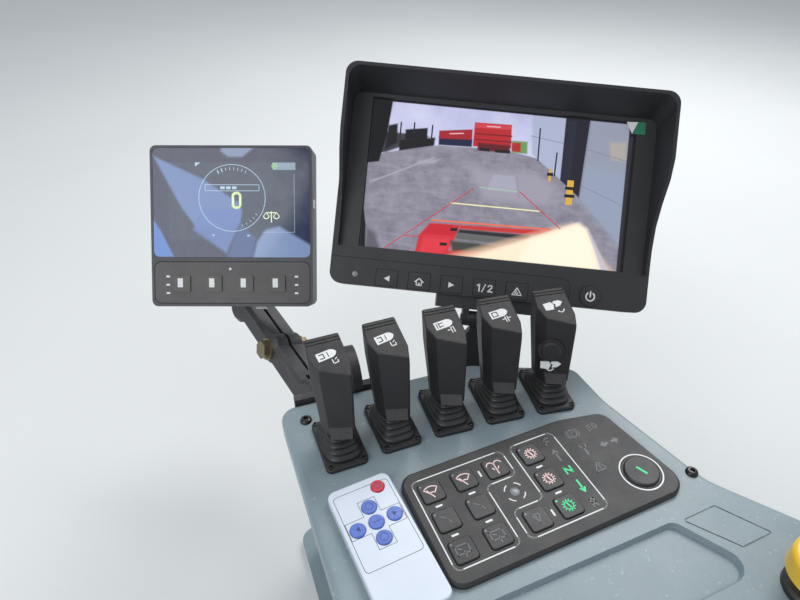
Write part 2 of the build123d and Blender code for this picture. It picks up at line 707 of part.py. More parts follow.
def make_arm_foot():
    """Plate on the cover's far side with the lower ball's stud, and a disc and boss for the clamp screw."""
    plate = Pos(foot_plate_from, 0, -foot_plate_down) * Box(
        foot_plate_wide, foot_plate_thick, foot_plate_down + foot_plate_up,
        align=(Align.MIN, Align.MIN, Align.MIN))
    outward, clamp = Plane(far_side_place()).y_dir, Plane(arm_place()).z_dir
    toward = clamp * clamp.dot(outward) - outward
    stem = extrude(Plane(origin=low_ball_place().position, z_dir=toward) * Circle(ball_stem_r),
                   amount=(low_ball_reach - foot_plate_thick / 2) / toward.length)
    ball = Pos(low_ball_from, low_ball_reach, -low_ball_down) * Sphere(ball_r)
    disc = Rot(0, 90, 0) * Cylinder(foot_disc_r, foot_disc_thick)
    disc = Pos(foot_disc_from + foot_disc_thick / 2, foot_disc_reach, foot_disc_up) * disc
    web = Pos(foot_disc_from, 0, -foot_plate_down + web_up) * Box(
        foot_disc_thick, foot_disc_reach, foot_plate_down - web_up, align=(Align.MIN, Align.MIN, Align.MIN))
    boss_y = foot_plate_thick + clamp_boss_r
    end = foot_plate_from + foot_plate_wide
    boss_long = end - foot_disc_from
    boss = Pos(end, boss_y, -star_knob_down) * Rot(0, -90, 0) * Cylinder(
        clamp_boss_r, boss_long, align=(Align.CENTER, Align.CENTER, Align.MIN))
    rib = Pos(foot_disc_from, 0, -star_knob_down - rib_thick / 2) * Box(
        boss_long, boss_y, rib_thick, align=(Align.MIN, Align.MIN, Align.MIN))
    hole = Pos(end, boss_y, -star_knob_down) * Rot(0, 90, 0) * Cylinder(
        clamp_screw_r + running_gap, 2 * clamp_screw_long + 2)
    return far_side_place() * (plate + ball + disc + web + boss + rib - hole) + stem


def make_star_knob():
    """Lobed clamp knob at the outboard end of the bracket."""
    knob = Cylinder(star_knob_r - 1.5, star_knob_long)
    for i in range(6):
        knob += Rot(0, 0, 60 * i) * Pos(star_knob_r - 2.5, 0, 0) * Cylinder(2.5, star_knob_long)
    screw = Pos(0, 0, -star_knob_long / 2 - 5) * Cylinder(clamp_screw_r, clamp_screw_long)
    place = far_side_place() * Pos(foot_plate_from + foot_plate_wide + star_knob_long / 2,
                                   foot_plate_thick + clamp_boss_r, -star_knob_down) * Rot(0, 90, 0)
    return place * (knob + screw)


def build():
    os.makedirs("parts", exist_ok=True)
    save(make_cover(), "console_cover")
    save(make_shell(), "console_shell")
    save(make_base(), "base_plate")
    save(make_keypad(), "keypad_frame")
    save(make_keys(), "keypad_keys")
    save(make_start_button(), "start_button")
    save(make_remote(), "remote_body")
    save(make_remote_keys(), "remote_buttons")
    for number, row in enumerate(lever_places, start=1):
        save(make_lever_base(row), f"lever_base_{number}")
        save(make_lever_handle(row), f"lever_handle_{number}")
        save(make_bellows(row), f"lever_bellows_{number}")
    save(make_lever_button(lever_places[-1]), "lever_button")
    save(make_brake_bezel(), "brake_bezel")
    save(make_brake_knob(), "brake_knob")
    save(make_monitor_case(), "monitor_case")
    save(make_monitor_glass(), "monitor_glass")
    save(make_monitor_keys(), "monitor_keys")
    save(make_monitor_hood(), "monitor_hood")
    save(make_foot_block(), "monitor_foot")
    save(make_post(), "monitor_post")
    save(make_shelf(), "monitor_shelf")
    save(make_display_case(), "display_case")
    save(make_display_glass(), "display_glass")
    save(make_display_keys(), "display_keys")
    save(make_display_mount(), "display_mount")
    save(make_arm_half(1), "arm_half_left")
    save(make_arm_half(-1), "arm_half_right")
    save(make_arm_bolt(), "arm_bolt")
    save(make_arm_foot(), "arm_foot")
    save(make_star_knob(), "arm_star_knob")


build()
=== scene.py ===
import bpy
import math
from mathutils import Matrix, Vector


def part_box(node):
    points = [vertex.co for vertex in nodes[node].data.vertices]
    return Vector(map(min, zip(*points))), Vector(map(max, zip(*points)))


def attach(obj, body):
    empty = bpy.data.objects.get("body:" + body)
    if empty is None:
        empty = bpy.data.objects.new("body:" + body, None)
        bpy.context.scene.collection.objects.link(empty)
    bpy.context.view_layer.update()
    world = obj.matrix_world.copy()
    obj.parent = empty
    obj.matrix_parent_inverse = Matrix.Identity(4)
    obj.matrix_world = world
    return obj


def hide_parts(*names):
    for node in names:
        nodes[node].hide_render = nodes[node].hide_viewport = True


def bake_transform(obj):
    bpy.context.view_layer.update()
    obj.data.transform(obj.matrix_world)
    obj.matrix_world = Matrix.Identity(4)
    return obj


# Dresses the forklift control console: finishes for its rigid parts, rubber bellows, printed symbols,
# the two lit screens, screws and trim. Small pieces are drawn in millimetres and placed in metres.

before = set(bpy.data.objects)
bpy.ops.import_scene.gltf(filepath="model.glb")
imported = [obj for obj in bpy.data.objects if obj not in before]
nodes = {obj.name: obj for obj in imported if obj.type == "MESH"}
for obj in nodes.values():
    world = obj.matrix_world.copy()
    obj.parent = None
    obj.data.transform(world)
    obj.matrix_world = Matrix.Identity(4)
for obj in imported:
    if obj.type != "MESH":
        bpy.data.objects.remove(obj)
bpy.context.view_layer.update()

# places, in millimetres from the first key column and the cover's top face
keypadLow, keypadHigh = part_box("keypad_frame")
panelOrigin = Vector((keypadLow.x + 0.0155, keypadHigh.y + 0.0025, keypadLow.z))
frameTop, keyTop = 4.0, 5.1     # keypad frame and keys above the cover
firstColumn, secondColumn, thirdColumn, funnelColumn, gearColumn = 0, 22.2, 44.4, 48.8, 70.5
topRow, middleRow, lowRow = -20.4, -40.8, -61.2
startButton = (126.9, -59.1)
powerKey = (10.3, 34.4)         # on the remote
bezelTop, monitorKeyTop = 4.0, 4.6      # above the monitor's glass
# levers: x, y, turn
leverRows = [(-39.3, 18.2, -2.4), (-1.2, 18.7, -2.5), (36.2, 16.3, -7.1), (73.6, 11.8, -8.7),
             (110.4, 5.2, -11.5)]
lever = {"flange": 21.5, "pivot": (-4, -13), "lean": 12, "gripTop": (11, 92), "topSlope": 31.5,
         "gripFront": 11.94, "frontTurn": math.degrees(math.atan2(-7.0, 18.0)),
         "marks": (1, 1, 2, 3, 5), "markSize": 1.3}


def onPanel(x, y, z=0.0):
    return Matrix.Translation(panelOrigin + Vector((x, y, z)) / 1000)


def turn(axis, degrees):
    return Matrix.Rotation(math.radians(degrees), 4, axis)


def shift(x, y, z=0.0):
    return Matrix.Translation(Vector((x, y, z)) / 1000)


def leverFlange(row):       # middle of the flange on the cover
    x, y, angle = row
    return onPanel(x, y) @ turn("Z", angle) @ shift(0, lever["flange"])


def leverAxis(row):         # pivot, Z up the leaning lever
    return leverFlange(row) @ shift(0, *lever["pivot"]) @ turn("X", -lever["lean"])


monitorFace = onPanel(132.3, 144.6, 106.0) @ turn("Z", -24.7) @ turn("X", 52.3) @ turn("Z", -5.0)
remoteFace = onPanel(-37.9, -40.0, 6.5) @ turn("Z", 2.5)
displayFace = onPanel(-61.4, 226.1, 70.3) @ turn("Z", -23.5) @ turn("X", 55.4)


# flat drawing: lists of outlines in millimetres
def stroke(points, width, closed=False):
    ends = list(zip(points, points[1:] + points[:1])) if closed else list(zip(points, points[1:]))
    strips = []
    for (ax, ay), (bx, by) in ends:
        length = math.hypot(bx - ax, by - ay)
        ux, uy = (bx - ax) / length * width / 2, (by - ay) / length * width / 2
        strips.append([(ax - ux + uy, ay - uy - ux), (bx + ux + uy, by + uy - ux),
                       (bx + ux - uy, by + uy + ux), (ax - ux - uy, ay - uy + ux)])
    return strips


def around(x, y, radius, degrees):
    return x + radius * math.cos(math.radians(degrees)), y + radius * math.sin(math.radians(degrees))


def arc(x, y, radius, width, start=0, end=360, steps=28):
    bands = []
    pieces = 2 if end - start > 300 else 1
    for i in range(pieces):
        first = start + (end - start) * i / pieces
        angles = [first + (end - start) / pieces * k / steps for k in range(steps + 1)]
        bands.append([around(x, y, radius + width / 2, a) for a in angles] +
                     [around(x, y, radius - width / 2, a) for a in reversed(angles)])
    return bands


def ray(x, y, near, far, degrees, width):
    return stroke([around(x, y, near, degrees), around(x, y, far, degrees)], width)


def disc(x, y, radius, steps):
    return [[around(x, y, radius, 360 * k / steps) for k in range(steps)]]


def slab(x, y, wide, high):
    return [[(x - wide / 2, y - high / 2), (x + wide / 2, y - high / 2), (x + wide / 2, y + high / 2),
             (x - wide / 2, y + high / 2)]]


def roundedLine(rows, steps=6):        # points of a closed line with rounded corners, from x, y, radius
    points = []
    for i, (x, y, r) in enumerate(rows):
        back = Vector(rows[i - 1][:2]) - Vector((x, y))
        ahead = Vector(rows[(i + 1) % len(rows)][:2]) - Vector((x, y))
        half = back.angle(ahead) / 2
        cut = r / math.tan(half)
        start, end = back.normalized() * cut, ahead.normalized() * cut
        middle = (back.normalized() + ahead.normalized()).normalized() * (r / math.sin(half))
        for k in range(steps + 1):
            along = (start - middle).slerp(end - middle, k / steps).normalized() * r
            points.append((x + middle.x + along.x, y + middle.y + along.y))
    return points


def placed(outlines, x, y, angle=0.0, size=1.0):
    c, s = math.cos(math.radians(angle)) * size, math.sin(math.radians(angle)) * size
    return [[(x + px * c - py * s, y + px * s + py * c) for px, py in line] for line in outlines]


# mesh pieces
def finishPiece(name, mesh, material, body, smooth=None):
    piece = bpy.data.objects.new(name, mesh)
    bpy.context.scene.collection.objects.link(piece)
    mesh.materials.append(finish[material])
    if smooth is not None:
        for face in mesh.polygons:
            face.use_smooth = True
        mesh.set_sharp_from_angle(angle=math.radians(smooth))
    if body:
        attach(piece, body)
    return piece


def printed(name, outlines, place, z, material, body="console", thick=0.12):
    sunk = 0.08
    verts, faces = [], []
    for line in outlines:
        area = sum(ax * by - bx * ay for (ax, ay), (bx, by) in zip(line, line[1:] + line[:1]))
        line = line if area > 0 else line[::-1]
        n, at = len(line), len(verts)
        for level in (z - sunk, z + thick):
            verts += [place @ (Vector((x, y, level)) / 1000) for x, y in line]
        faces.append([at + n + k for k in range(n)])
        faces.append([at + k for k in reversed(range(n))])
        faces += [(at + k, at + (k + 1) % n, at + n + (k + 1) % n, at + n + k) for k in range(n)]
    mesh = bpy.data.meshes.new(name)
    mesh.from_pydata(verts, [], faces)
    return finishPiece(name, mesh, material, body)


def lathed(name, profile, places, material, body, steps, smooth=35):
    verts, faces = [], []
    for place in places:
        rings = []
        for r, z in profile:
            at = len(verts)
            if r < 1e-6:
                verts.append(place @ (Vector((0, 0, z)) / 1000))
                rings.append([at] * steps)
            else:
                circle = [around(0, 0, r, 360 * k / steps) for k in range(steps)]
                verts += [place @ (Vector((x, y, z)) / 1000) for x, y in circle]
                rings.append([at + k for k in range(steps)])
        for low, high in zip(rings, rings[1:]):
            for k in range(steps):
                face = [low[k], low[(k + 1) % steps], high[(k + 1) % steps], high[k]]
                face = [v for i, v in enumerate(face) if v not in face[:i]]
                if len(face) > 2:
                    faces.append(face)
    mesh = bpy.data.meshes.new(name)
    mesh.from_pydata(verts, [], faces)
    return finishPiece(name, mesh, material, body, smooth)


# node helpers
def srgb(*tint):
    shares = [v / 255 for v in tint]
    return tuple(v / 12.92 if v <= 0.04045 else ((v + 0.055) / 1.055) ** 2.4 for v in shares) + (1,)


def addNode(tree, kind, inputs=None, **settings):
    node = tree.nodes.new("ShaderNode" + kind)
    for key, value in settings.items():
        setattr(node, key, value)
    for key, value in (inputs or {}).items():
        if isinstance(value, bpy.types.NodeSocket):
            tree.links.new(value, node.inputs[key])
        else:
            node.inputs[key].default_value = value
    return node


def mixColor(tree, factor, a, b):
    mix = addNode(tree, "Mix", data_type="RGBA")
    for socket, value in ((mix.inputs[0], factor), (mix.inputs[6], a), (mix.inputs[7], b)):
        if isinstance(value, bpy.types.NodeSocket):
            tree.links.new(value, socket)
        else:
            socket.default_value = value
    return mix.outputs[2]


def math2(tree, operation, a, b, c=0.0, clamp=False):
    return addNode(tree, "Math", {0: a, 1: b, 2: c}, operation=operation, use_clamp=clamp).outputs[0]


def vectorMath(tree, operation, a, b):
    return addNode(tree, "VectorMath", {0: a, 1: b}, operation=operation).outputs["Value"]


def ranged(tree, value, low, high, newLow=0.0, newHigh=1.0):
    return addNode(tree, "MapRange", {0: value, 1: low, 2: high, 3: newLow, 4: newHigh}).outputs[0]


def objectSpot(tree):
    return addNode(tree, "TexCoord").outputs["Object"]


def noise(tree, vector, scale, detail, rough=0.55):
    inputs = {"Vector": vector, "Scale": scale, "Detail": detail, "Roughness": rough}
    return addNode(tree, "TexNoise", inputs).outputs["Fac"]


def newGroup(name, inputs, outputs):
    tree = bpy.data.node_groups.new(name, "ShaderNodeTree")
    kinds = {"color": "NodeSocketColor", "value": "NodeSocketFloat"}
    for label, kind in inputs:
        tree.interface.new_socket(label, in_out="INPUT", socket_type=kinds[kind])
    for label, kind in outputs:
        tree.interface.new_socket(label, in_out="OUTPUT", socket_type=kinds[kind])
    return tree, tree.nodes.new("NodeGroupInput").outputs, tree.nodes.new("NodeGroupOutput").inputs


# shared effects
def buildToneGroup():
    inputs = [("Base Color", "color"), ("Second Color", "color"), ("Mottle", "value"),
              ("Mottle Scale", "value"), ("Speck Color", "color"), ("Specks", "value"),
              ("Speck Scale", "value"), ("Dust Color", "color"), ("Dust", "value")]
    tree, given, out = newGroup("surfaceTone", inputs, [("Color", "color"), ("Dust Mask", "value")])
    at = addNode(tree, "TexCoord")
    cloud = ranged(tree, noise(tree, at.outputs["Object"], given["Mottle Scale"], 5), 0.3, 0.7)
    color = mixColor(tree, math2(tree, "MULTIPLY", cloud, given["Mottle"]), given["Base Color"],
                     given["Second Color"])
    speck = ranged(tree, noise(tree, at.outputs["Object"], given["Speck Scale"], 2), 0.66, 0.72)
    color = mixColor(tree, math2(tree, "MULTIPLY", speck, given["Specks"]), color, given["Speck Color"])
    upward = addNode(tree, "SeparateXYZ", {0: at.outputs["Normal"]}).outputs[2]
    settled = math2(tree, "MULTIPLY", ranged(tree, upward, 0.1, 1.0),
                    noise(tree, at.outputs["Object"], 55, 6, 0.7))
    mask = math2(tree, "MULTIPLY", ranged(tree, settled, 0.3, 0.75), given["Dust"])
    tree.links.new(mixColor(tree, mask, color, given["Dust Color"]), out["Color"])
    tree.links.new(mask, out["Dust Mask"])
    return tree


def buildWearGroup():
    inputs = [("Color", "color"), ("Worn Color", "color"), ("Amount", "value"), ("Width", "value")]
    tree, given, out = newGroup("edgeWear", inputs, [("Color", "color")])
    spot = objectSpot(tree)
    rounded = addNode(tree, "Bevel", {"Radius": given["Width"]}, samples=4).outputs[0]
    plain = addNode(tree, "NewGeometry").outputs["Normal"]
    along = vectorMath(tree, "DOT_PRODUCT", rounded, plain)
    edge = ranged(tree, along, 0.995, 0.90)
    broken = ranged(tree, noise(tree, spot, 260, 5, 0.7), 0.42, 0.6)
    mask = math2(tree, "MULTIPLY", math2(tree, "MULTIPLY", edge, broken), given["Amount"])
    tree.links.new(mixColor(tree, mask, given["Color"], given["Worn Color"]), out["Color"])
    return tree


def buildGrainGroup():
    tree, given, out = newGroup("fineGrain", [("Scale", "value"), ("Pits", "value")], [("Height", "value")])
    spot = objectSpot(tree)
    cells = addNode(tree, "TexVoronoi", {"Vector": spot, "Scale": given["Scale"]})
    pits = math2(tree, "MULTIPLY", cells.outputs["Distance"], given["Pits"])
    tree.links.new(math2(tree, "ADD", pits, noise(tree, spot, given["Scale"], 2)), out["Height"])
    return tree


def buildGlossGroup():
    inputs = [("Roughness", "value"), ("Spread", "value"), ("Scale", "value"), ("Dust Mask", "value")]
    tree, given, out = newGroup("glossPatches", inputs, [("Roughness", "value")])
    spot = objectSpot(tree)
    patch = ranged(tree, noise(tree, spot, given["Scale"], 6, 0.65), 0.3, 0.7, -1.0, 1.0)
    worn = math2(tree, "ADD", given["Roughness"], math2(tree, "MULTIPLY", patch, given["Spread"]))
    worn = math2(tree, "ADD", worn, math2(tree, "MULTIPLY", given["Dust Mask"], 0.35), clamp=True)
    tree.links.new(worn, out["Roughness"])
    return tree


toneGroup, wearGroup = buildToneGroup(), buildWearGroup()
grainGroup, glossGroup = buildGrainGroup(), buildGlossGroup()


def useGroup(tree, group, **values):
    node = tree.nodes.new("ShaderNodeGroup")
    node.node_tree = group
    for key, value in values.items():
        label = "".join(" " + ch if ch.isupper() else ch for ch in key).strip().title()
        if isinstance(value, bpy.types.NodeSocket):
            tree.links.new(value, node.inputs[label])
        else:
            node.inputs[label].default_value = value
    return node


# what all finishes share; lengths in metres
shared = {"wearWidth": 0.0008, "spread": 0.06, "patchScale": 40.0, "pits": 0.6, "bumpDepth": 0.0003,
          "coatRoughness": 0.15}


def makeFinish(name, look):
    material = bpy.data.materials.new(name)
    material.use_nodes = True
    tree = material.node_tree
    shader = tree.nodes["Principled BSDF"]
    first, second = look["tones"]
    tone = useGroup(tree, toneGroup, baseColor=srgb(*first), secondColor=srgb(*second),
                    mottle=look.get("mottle", 0.5), mottleScale=look.get("mottleScale", 30.0),
                    speckColor=srgb(*look.get("speckColor", second)), specks=look.get("specks", 0.0),
                    speckScale=look.get("speckScale", 900.0), dust=look.get("dust", 0.08),
                    dustColor=srgb(*look.get("dustColor", (150, 146, 138))))
    color = tone.outputs["Color"]
    if look.get("wear"):
        worn = useGroup(tree, wearGroup, color=color, wornColor=srgb(*look["wornColor"]),
                        amount=look["wear"], width=shared["wearWidth"])
        color = worn.outputs["Color"]
    tree.links.new(color, shader.inputs["Base Color"])
    gloss = useGroup(tree, glossGroup, roughness=look["roughness"], spread=shared["spread"],
                     scale=shared["patchScale"], dustMask=tone.outputs["Dust Mask"])
    tree.links.new(gloss.outputs["Roughness"], shader.inputs["Roughness"])
    grain = useGroup(tree, grainGroup, scale=look.get("grainScale", 1400.0), pits=shared["pits"])
    bump = addNode(tree, "Bump", {"Strength": look.get("grain", 0.2), "Distance": shared["bumpDepth"],
                                  "Height": grain.outputs["Height"]})
    tree.links.new(bump.outputs["Normal"], shader.inputs["Normal"])
    shader.inputs["Metallic"].default_value = look.get("metallic", 0.0)
    shader.inputs["Coat Weight"].default_value = look.get("coat", 0.0)
    shader.inputs["Coat Roughness"].default_value = shared["coatRoughness"]
    if look.get("glow"):
        tree.links.new(color, shader.inputs["Emission Color"])
        shader.inputs["Emission Strength"].default_value = look["glow"]
    return material


looks = {
    "consolePaint": {"tones": ((122, 139, 145), (137, 153, 158)), "mottle": 0.6, "mottleScale": 14,
                     "specks": 0.5, "speckColor": (176, 186, 188), "speckScale": 420, "roughness": 0.42,
                     "grain": 0.16, "grainScale": 700, "dust": 0.22, "dustColor": (164, 166, 162),
                     "wear": 0.8, "wornColor": (84, 88, 90), "coat": 0.1},
    "keypadPlastic": {"tones": ((40, 40, 41), (50, 50, 50)), "specks": 0.45, "speckColor": (92, 92, 92),
                      "speckScale": 1500, "roughness": 0.5, "grain": 0.35, "grainScale": 1700, "dust": 0.12},
    "keyPlastic": {"tones": ((36, 36, 37), (45, 45, 45)), "specks": 0.25, "speckColor": (84, 84, 84),
                   "speckScale": 1500, "roughness": 0.44, "grain": 0.3, "grainScale": 1700, "dust": 0.08},
    "gripPlastic": {"tones": ((36, 35, 36), (46, 45, 44)), "roughness": 0.5, "grain": 0.5, "grainScale": 1300,
                    "dust": 0.3, "dustColor": (104, 102, 98), "wear": 0.35, "wornColor": (88, 86, 84)},
    "flangePlastic": {"tones": ((34, 34, 35), (43, 43, 43)), "roughness": 0.5, "grain": 0.4, "dust": 0.2,
                      "dustColor": (120, 118, 112)},
    "bellowsRubber": {"tones": ((32, 32, 33), (44, 43, 42)), "roughness": 0.42, "grain": 0.35,
                      "grainScale": 900, "dust": 0.3, "dustColor": (104, 101, 95)},
    "monitorPlastic": {"tones": ((46, 46, 47), (54, 54, 54)), "roughness": 0.55, "grain": 0.3,
                       "grainScale": 1100, "dust": 0.12, "dustColor": (116, 114, 110)},
    "hoodPlastic": {"tones": ((38, 39, 41), (45, 46, 48)), "roughness": 0.6, "grain": 0.4, "grainScale": 1100,
                    "dust": 0.1, "dustColor": (112, 112, 110), "wear": 0.25, "wornColor": (82, 82, 84)},
    "displayPlastic": {"tones": ((70, 71, 75), (80, 80, 82)), "roughness": 0.5, "grain": 0.3, "dust": 0.15},
    "keyPanel": {"tones": ((82, 80, 80), (92, 89, 87)), "roughness": 0.5, "grain": 0.3, "dust": 0.1},
    "displayKey": {"tones": ((84, 81, 78), (94, 90, 86)), "roughness": 0.48, "grain": 0.25},
    "remoteWhite": {"tones": ((208, 216, 227), (219, 226, 235)), "roughness": 0.32, "grain": 0.06,
                    "dust": 0.1, "dustColor": (178, 180, 184), "coat": 0.2},
    "remoteButtons": {"tones": ((74, 104, 186), (92, 122, 204)), "roughness": 0.4, "mottle": 0.8,
                      "mottleScale": 500, "grain": 0.1, "coat": 0.2, "dust": 0.05},
    "bracketSteel": {"tones": ((44, 44, 46), (54, 54, 55)), "roughness": 0.45, "grain": 0.3,
                     "grainScale": 800, "dust": 0.2, "wear": 0.9, "wornColor": (120, 118, 114)},
    "armAlloy": {"tones": ((50, 50, 53), (62, 61, 62)), "roughness": 0.48, "grain": 0.45, "grainScale": 700,
                 "dust": 0.2, "wear": 0.9, "wornColor": (128, 122, 112)},
    "boltSteel": {"tones": ((126, 112, 84), (154, 142, 116)), "roughness": 0.38, "grain": 0.2,
                  "metallic": 0.85, "dust": 0.1},
    "blackScrew": {"tones": ((34, 34, 35), (52, 51, 50)), "roughness": 0.28, "grain": 0.2, "metallic": 0.6,
                   "coat": 0.3},
    "knobBlack": {"tones": ((36, 36, 37), (47, 47, 47)), "roughness": 0.5, "grain": 0.4, "dust": 0.15},
    "knobYellow": {"tones": ((228, 184, 42), (238, 198, 66)), "roughness": 0.36, "grain": 0.15, "dust": 0.15,
                   "wear": 0.3, "wornColor": (190, 160, 70), "coat": 0.2},
    "printWhite": {"tones": ((226, 227, 225), (240, 240, 238)), "roughness": 0.5, "dust": 0.1},
    "printPink": {"tones": ((224, 190, 188), (238, 214, 210)), "roughness": 0.5, "glow": 0.15},
    "printDim": {"tones": ((104, 104, 105), (124, 124, 124)), "roughness": 0.5},
    "printGreen": {"tones": ((40, 190, 120), (60, 214, 140)), "roughness": 0.45, "glow": 0.35},
    "printDark": {"tones": ((46, 47, 50), (58, 58, 62)), "roughness": 0.5},
    "printBlueDark": {"tones": ((36, 56, 112), (46, 68, 128)), "roughness": 0.4},
    "lensGrey": {"tones": ((118, 122, 126), (140, 144, 148)), "roughness": 0.3, "coat": 0.3},
    "clipPale": {"tones": ((176, 178, 176), (196, 198, 196)), "roughness": 0.45},
    "filmGreen": {"tones": ((22, 120, 82), (36, 140, 98)), "roughness": 0.3, "coat": 0.3},
    "floor": {"tones": ((214, 216, 214), (222, 224, 222)), "mottleScale": 2.0, "roughness": 0.8, "dust": 0.0,
              "grain": 0.02},
    "seamBlack": {"tones": ((20, 20, 22), (28, 28, 30)), "roughness": 0.7},
}
finish = {name: makeFinish(name, look) for name, look in looks.items()}
print("finishes made")


# one red button among the remote's blue ones
def paintPowerKey(material, radius=0.0053, soft=0.0001):
    tree = material.node_tree
    shader = tree.nodes["Principled BSDF"]
    blue = shader.inputs["Base Color"].links[0].from_socket
    away = vectorMath(tree, "DISTANCE", objectSpot(tree), (remoteFace @ shift(*powerKey)).translation)
    color = mixColor(tree, ranged(tree, away, radius - soft, radius + soft), srgb(196, 30, 54), blue)
    tree.links.new(color, shader.inputs["Base Color"])


paintPowerKey(finish["remoteButtons"])


# lit screens: soft-edged shapes in millimetres over the glass
def screenPlace(tree, face):
    at = objectSpot(tree)
    across, upward, middle = face.col[0].to_3d() * 1000, face.col[1].to_3d() * 1000, face.translation
    x = vectorMath(tree, "DOT_PRODUCT", at, across)
    y = vectorMath(tree, "DOT_PRODUCT", at, upward)
    x = math2(tree, "SUBTRACT", x, middle.dot(across))
    y = math2(tree, "SUBTRACT", y, middle.dot(upward))
    return addNode(tree, "CombineXYZ", {0: x, 1: y, 2: 1.0}).outputs[0], x, y


def softShape(tree, spot, corners, soft):
    area = sum(ax * by - bx * ay for (ax, ay), (bx, by) in zip(corners, corners[1:] + corners[:1]))
    corners = corners if area > 0 else corners[::-1]
    mask = None
    for (ax, ay), (bx, by) in zip(corners, corners[1:] + corners[:1]):
        length = math.hypot(bx - ax, by - ay)
        nx, ny = (by - ay) / length, (ax - bx) / length
        side = vectorMath(tree, "DOT_PRODUCT", spot, (nx, ny, -(nx * ax + ny * ay)))
        side = math2(tree, "MULTIPLY_ADD", side, -1 / soft, 0.5, clamp=True)
        mask = side if mask is None else math2(tree, "MINIMUM", mask, side)
    return mask


# the yard behind a truck as its camera shows it, from back to front: convex corners, colour, softness
yard = [
    ([(-103, -60), (-103, 10), (-88, 17), (-47, 26.4), (-20, 27), (10, 26.4), (103, 12), (103, -60)],
     (0, 0, 0), 1.2),
    ([(-22, 10), (30, 12), (46, 2), (40, -12), (-10, -12)], (156, 152, 166), 7.0),
    ([(21.6, 60), (48, 60), (48, 8.8), (24.2, 26.6)], (170, 177, 204), 0.8),
    ([(66, 60), (99, 60), (99, -38), (63.5, -3.5)], (146, 152, 170), 0.8),
    ([(66, 22), (99, 16), (99, -38), (63.5, -3.5)], (147, 157, 180), 10.0),
    ([(47.7, 60), (66.6, 60), (63.5, -3.5), (47.8, 8.7)], (26, 26, 38), 0.8),
    ([(49.2, 55), (56.4, 55), (55.4, 5), (49.0, 9.6)], (34, 35, 50), 0.6),
    ([(83, 41), (95.4, 42.4), (97, 27.5), (84.4, 28)], (172, 164, 158), 3.0),
    ([(-3.5, 8), (13, 8), (16, -4.5), (-7.3, -4.5)], (164, 164, 180), 1.2),
    ([(-98, -7.7), (-50, 16), (-50, 16.8), (-98, -6.6)], (172, 170, 184), 1.4),
    ([(-62, 13), (-46, 15.5), (-50, 11.8), (-64, 10.4)], (166, 164, 178), 2.4),
    ([(-103, 27), (-88, 33), (-60, 33), (-47, 30), (-47, 26.4), (-88, 17), (-103, 10)], (62, 60, 68), 1.6),
    ([(-48.5, 33.4), (-22.4, 33.4), (-22.4, 27.4), (-48, 26.6)], (30, 32, 66), 0.8),
    ([(-48.6, 37.6), (-23, 41), (-22.6, 33), (-48.3, 31.6)], (160, 34, 44), 0.8),
    ([(-21.8, 46.6), (6.8, 47.4), (7.8, 29), (-21.7, 28)], (182, 36, 42), 0.8),
    ([(-21.4, 45.8), (6.6, 46.6), (6.8, 43.4), (-21.4, 42.6)], (206, 66, 70), 0.8),
    ([(-18, 31.4), (7, 31.4), (7, 25.6), (-18, 25.2)], (96, 26, 32), 1.6),
    ([(8, 35.2), (20, 35.6), (20.6, 26.2), (9, 26)], (108, 150, 84), 1.2),
    ([(8, 33.6), (15, 34.4), (15.4, 27), (8.4, 27)], (170, 44, 46), 1.0),
    ([(-74.5, 36), (-57.6, 38.8), (-57.2, 30), (-74.4, 28.4)], (18, 19, 25), 1.0),
    ([(-79, 27.4), (-51, 32), (-51.4, 25.4), (-78, 19)], (22, 20, 23), 1.2),
    ([(-88, 38), (-81, 40), (-80, 25), (-89, 19)], (24, 23, 28), 1.4),
    ([(-97, -42), (-90, -46), (-84, -60), (-97, -60)], (96, 92, 104), 4.0),
    ([(-48.6, -34), (-25, -33.4), (-27.5, -42), (-34.5, -58), (-58, -58), (-56, -44)], (198, 34, 46), 1.6),
    ([(-53, -44), (-30, -43), (-34, -60), (-56, -60)], (222, 56, 68), 4.0),
    ([(-25.2, -36.6), (29, -36), (28, -40), (-27, -40)], (38, 36, 42), 1.8),
    ([(-27, -40), (28, -40), (16.4, -45.4), (-28.4, -44.6)], (98, 100, 96), 2.0),
    ([(-25, -33.4), (52, -30.6), (50, -35), (-25.6, -36.4)], (198, 50, 48), 1.4),
    ([(-32, -46), (10, -46.4), (-8, -53), (-28, -58)], (66, 68, 60), 2.4),
    ([(-34, -54), (-8, -53), (-22, -60), (-40, -60)], (198, 48, 50), 3.0),
    ([(-34, -60), (60, -25), (96, -60)], (244, 206, 176), 7.0),
    ([(-20, -60), (64, -23.4), (71.8, -27.0), (84, -48), (88, -60)], (250, 234, 206), 3.0),
    ([(30, -40), (66, -24), (71.4, -28), (84, -60), (20, -60)], (255, 244, 220), 6.0),
    ([(72, -26), (74, -28), (93, -60), (87, -60)], (196, 190, 200), 2.0),
    ([(-104, 60), (-83, 60), (-88.3, 32), (-90, 10), (-104, 7)], (5, 5, 7), 1.0),
    ([(-104, -9), (-100.2, -9), (-98, -40), (-93.6, -60), (-104, -60)], (8, 6, 14), 1.0),
]
monitorScreen = {"picture": [(-101.5, 56.4), (96.9, 56.4), (97.6, -57), (-100.4, -57.2)], "glow": 0.86,
                 "unlit": srgb(40, 40, 44)}


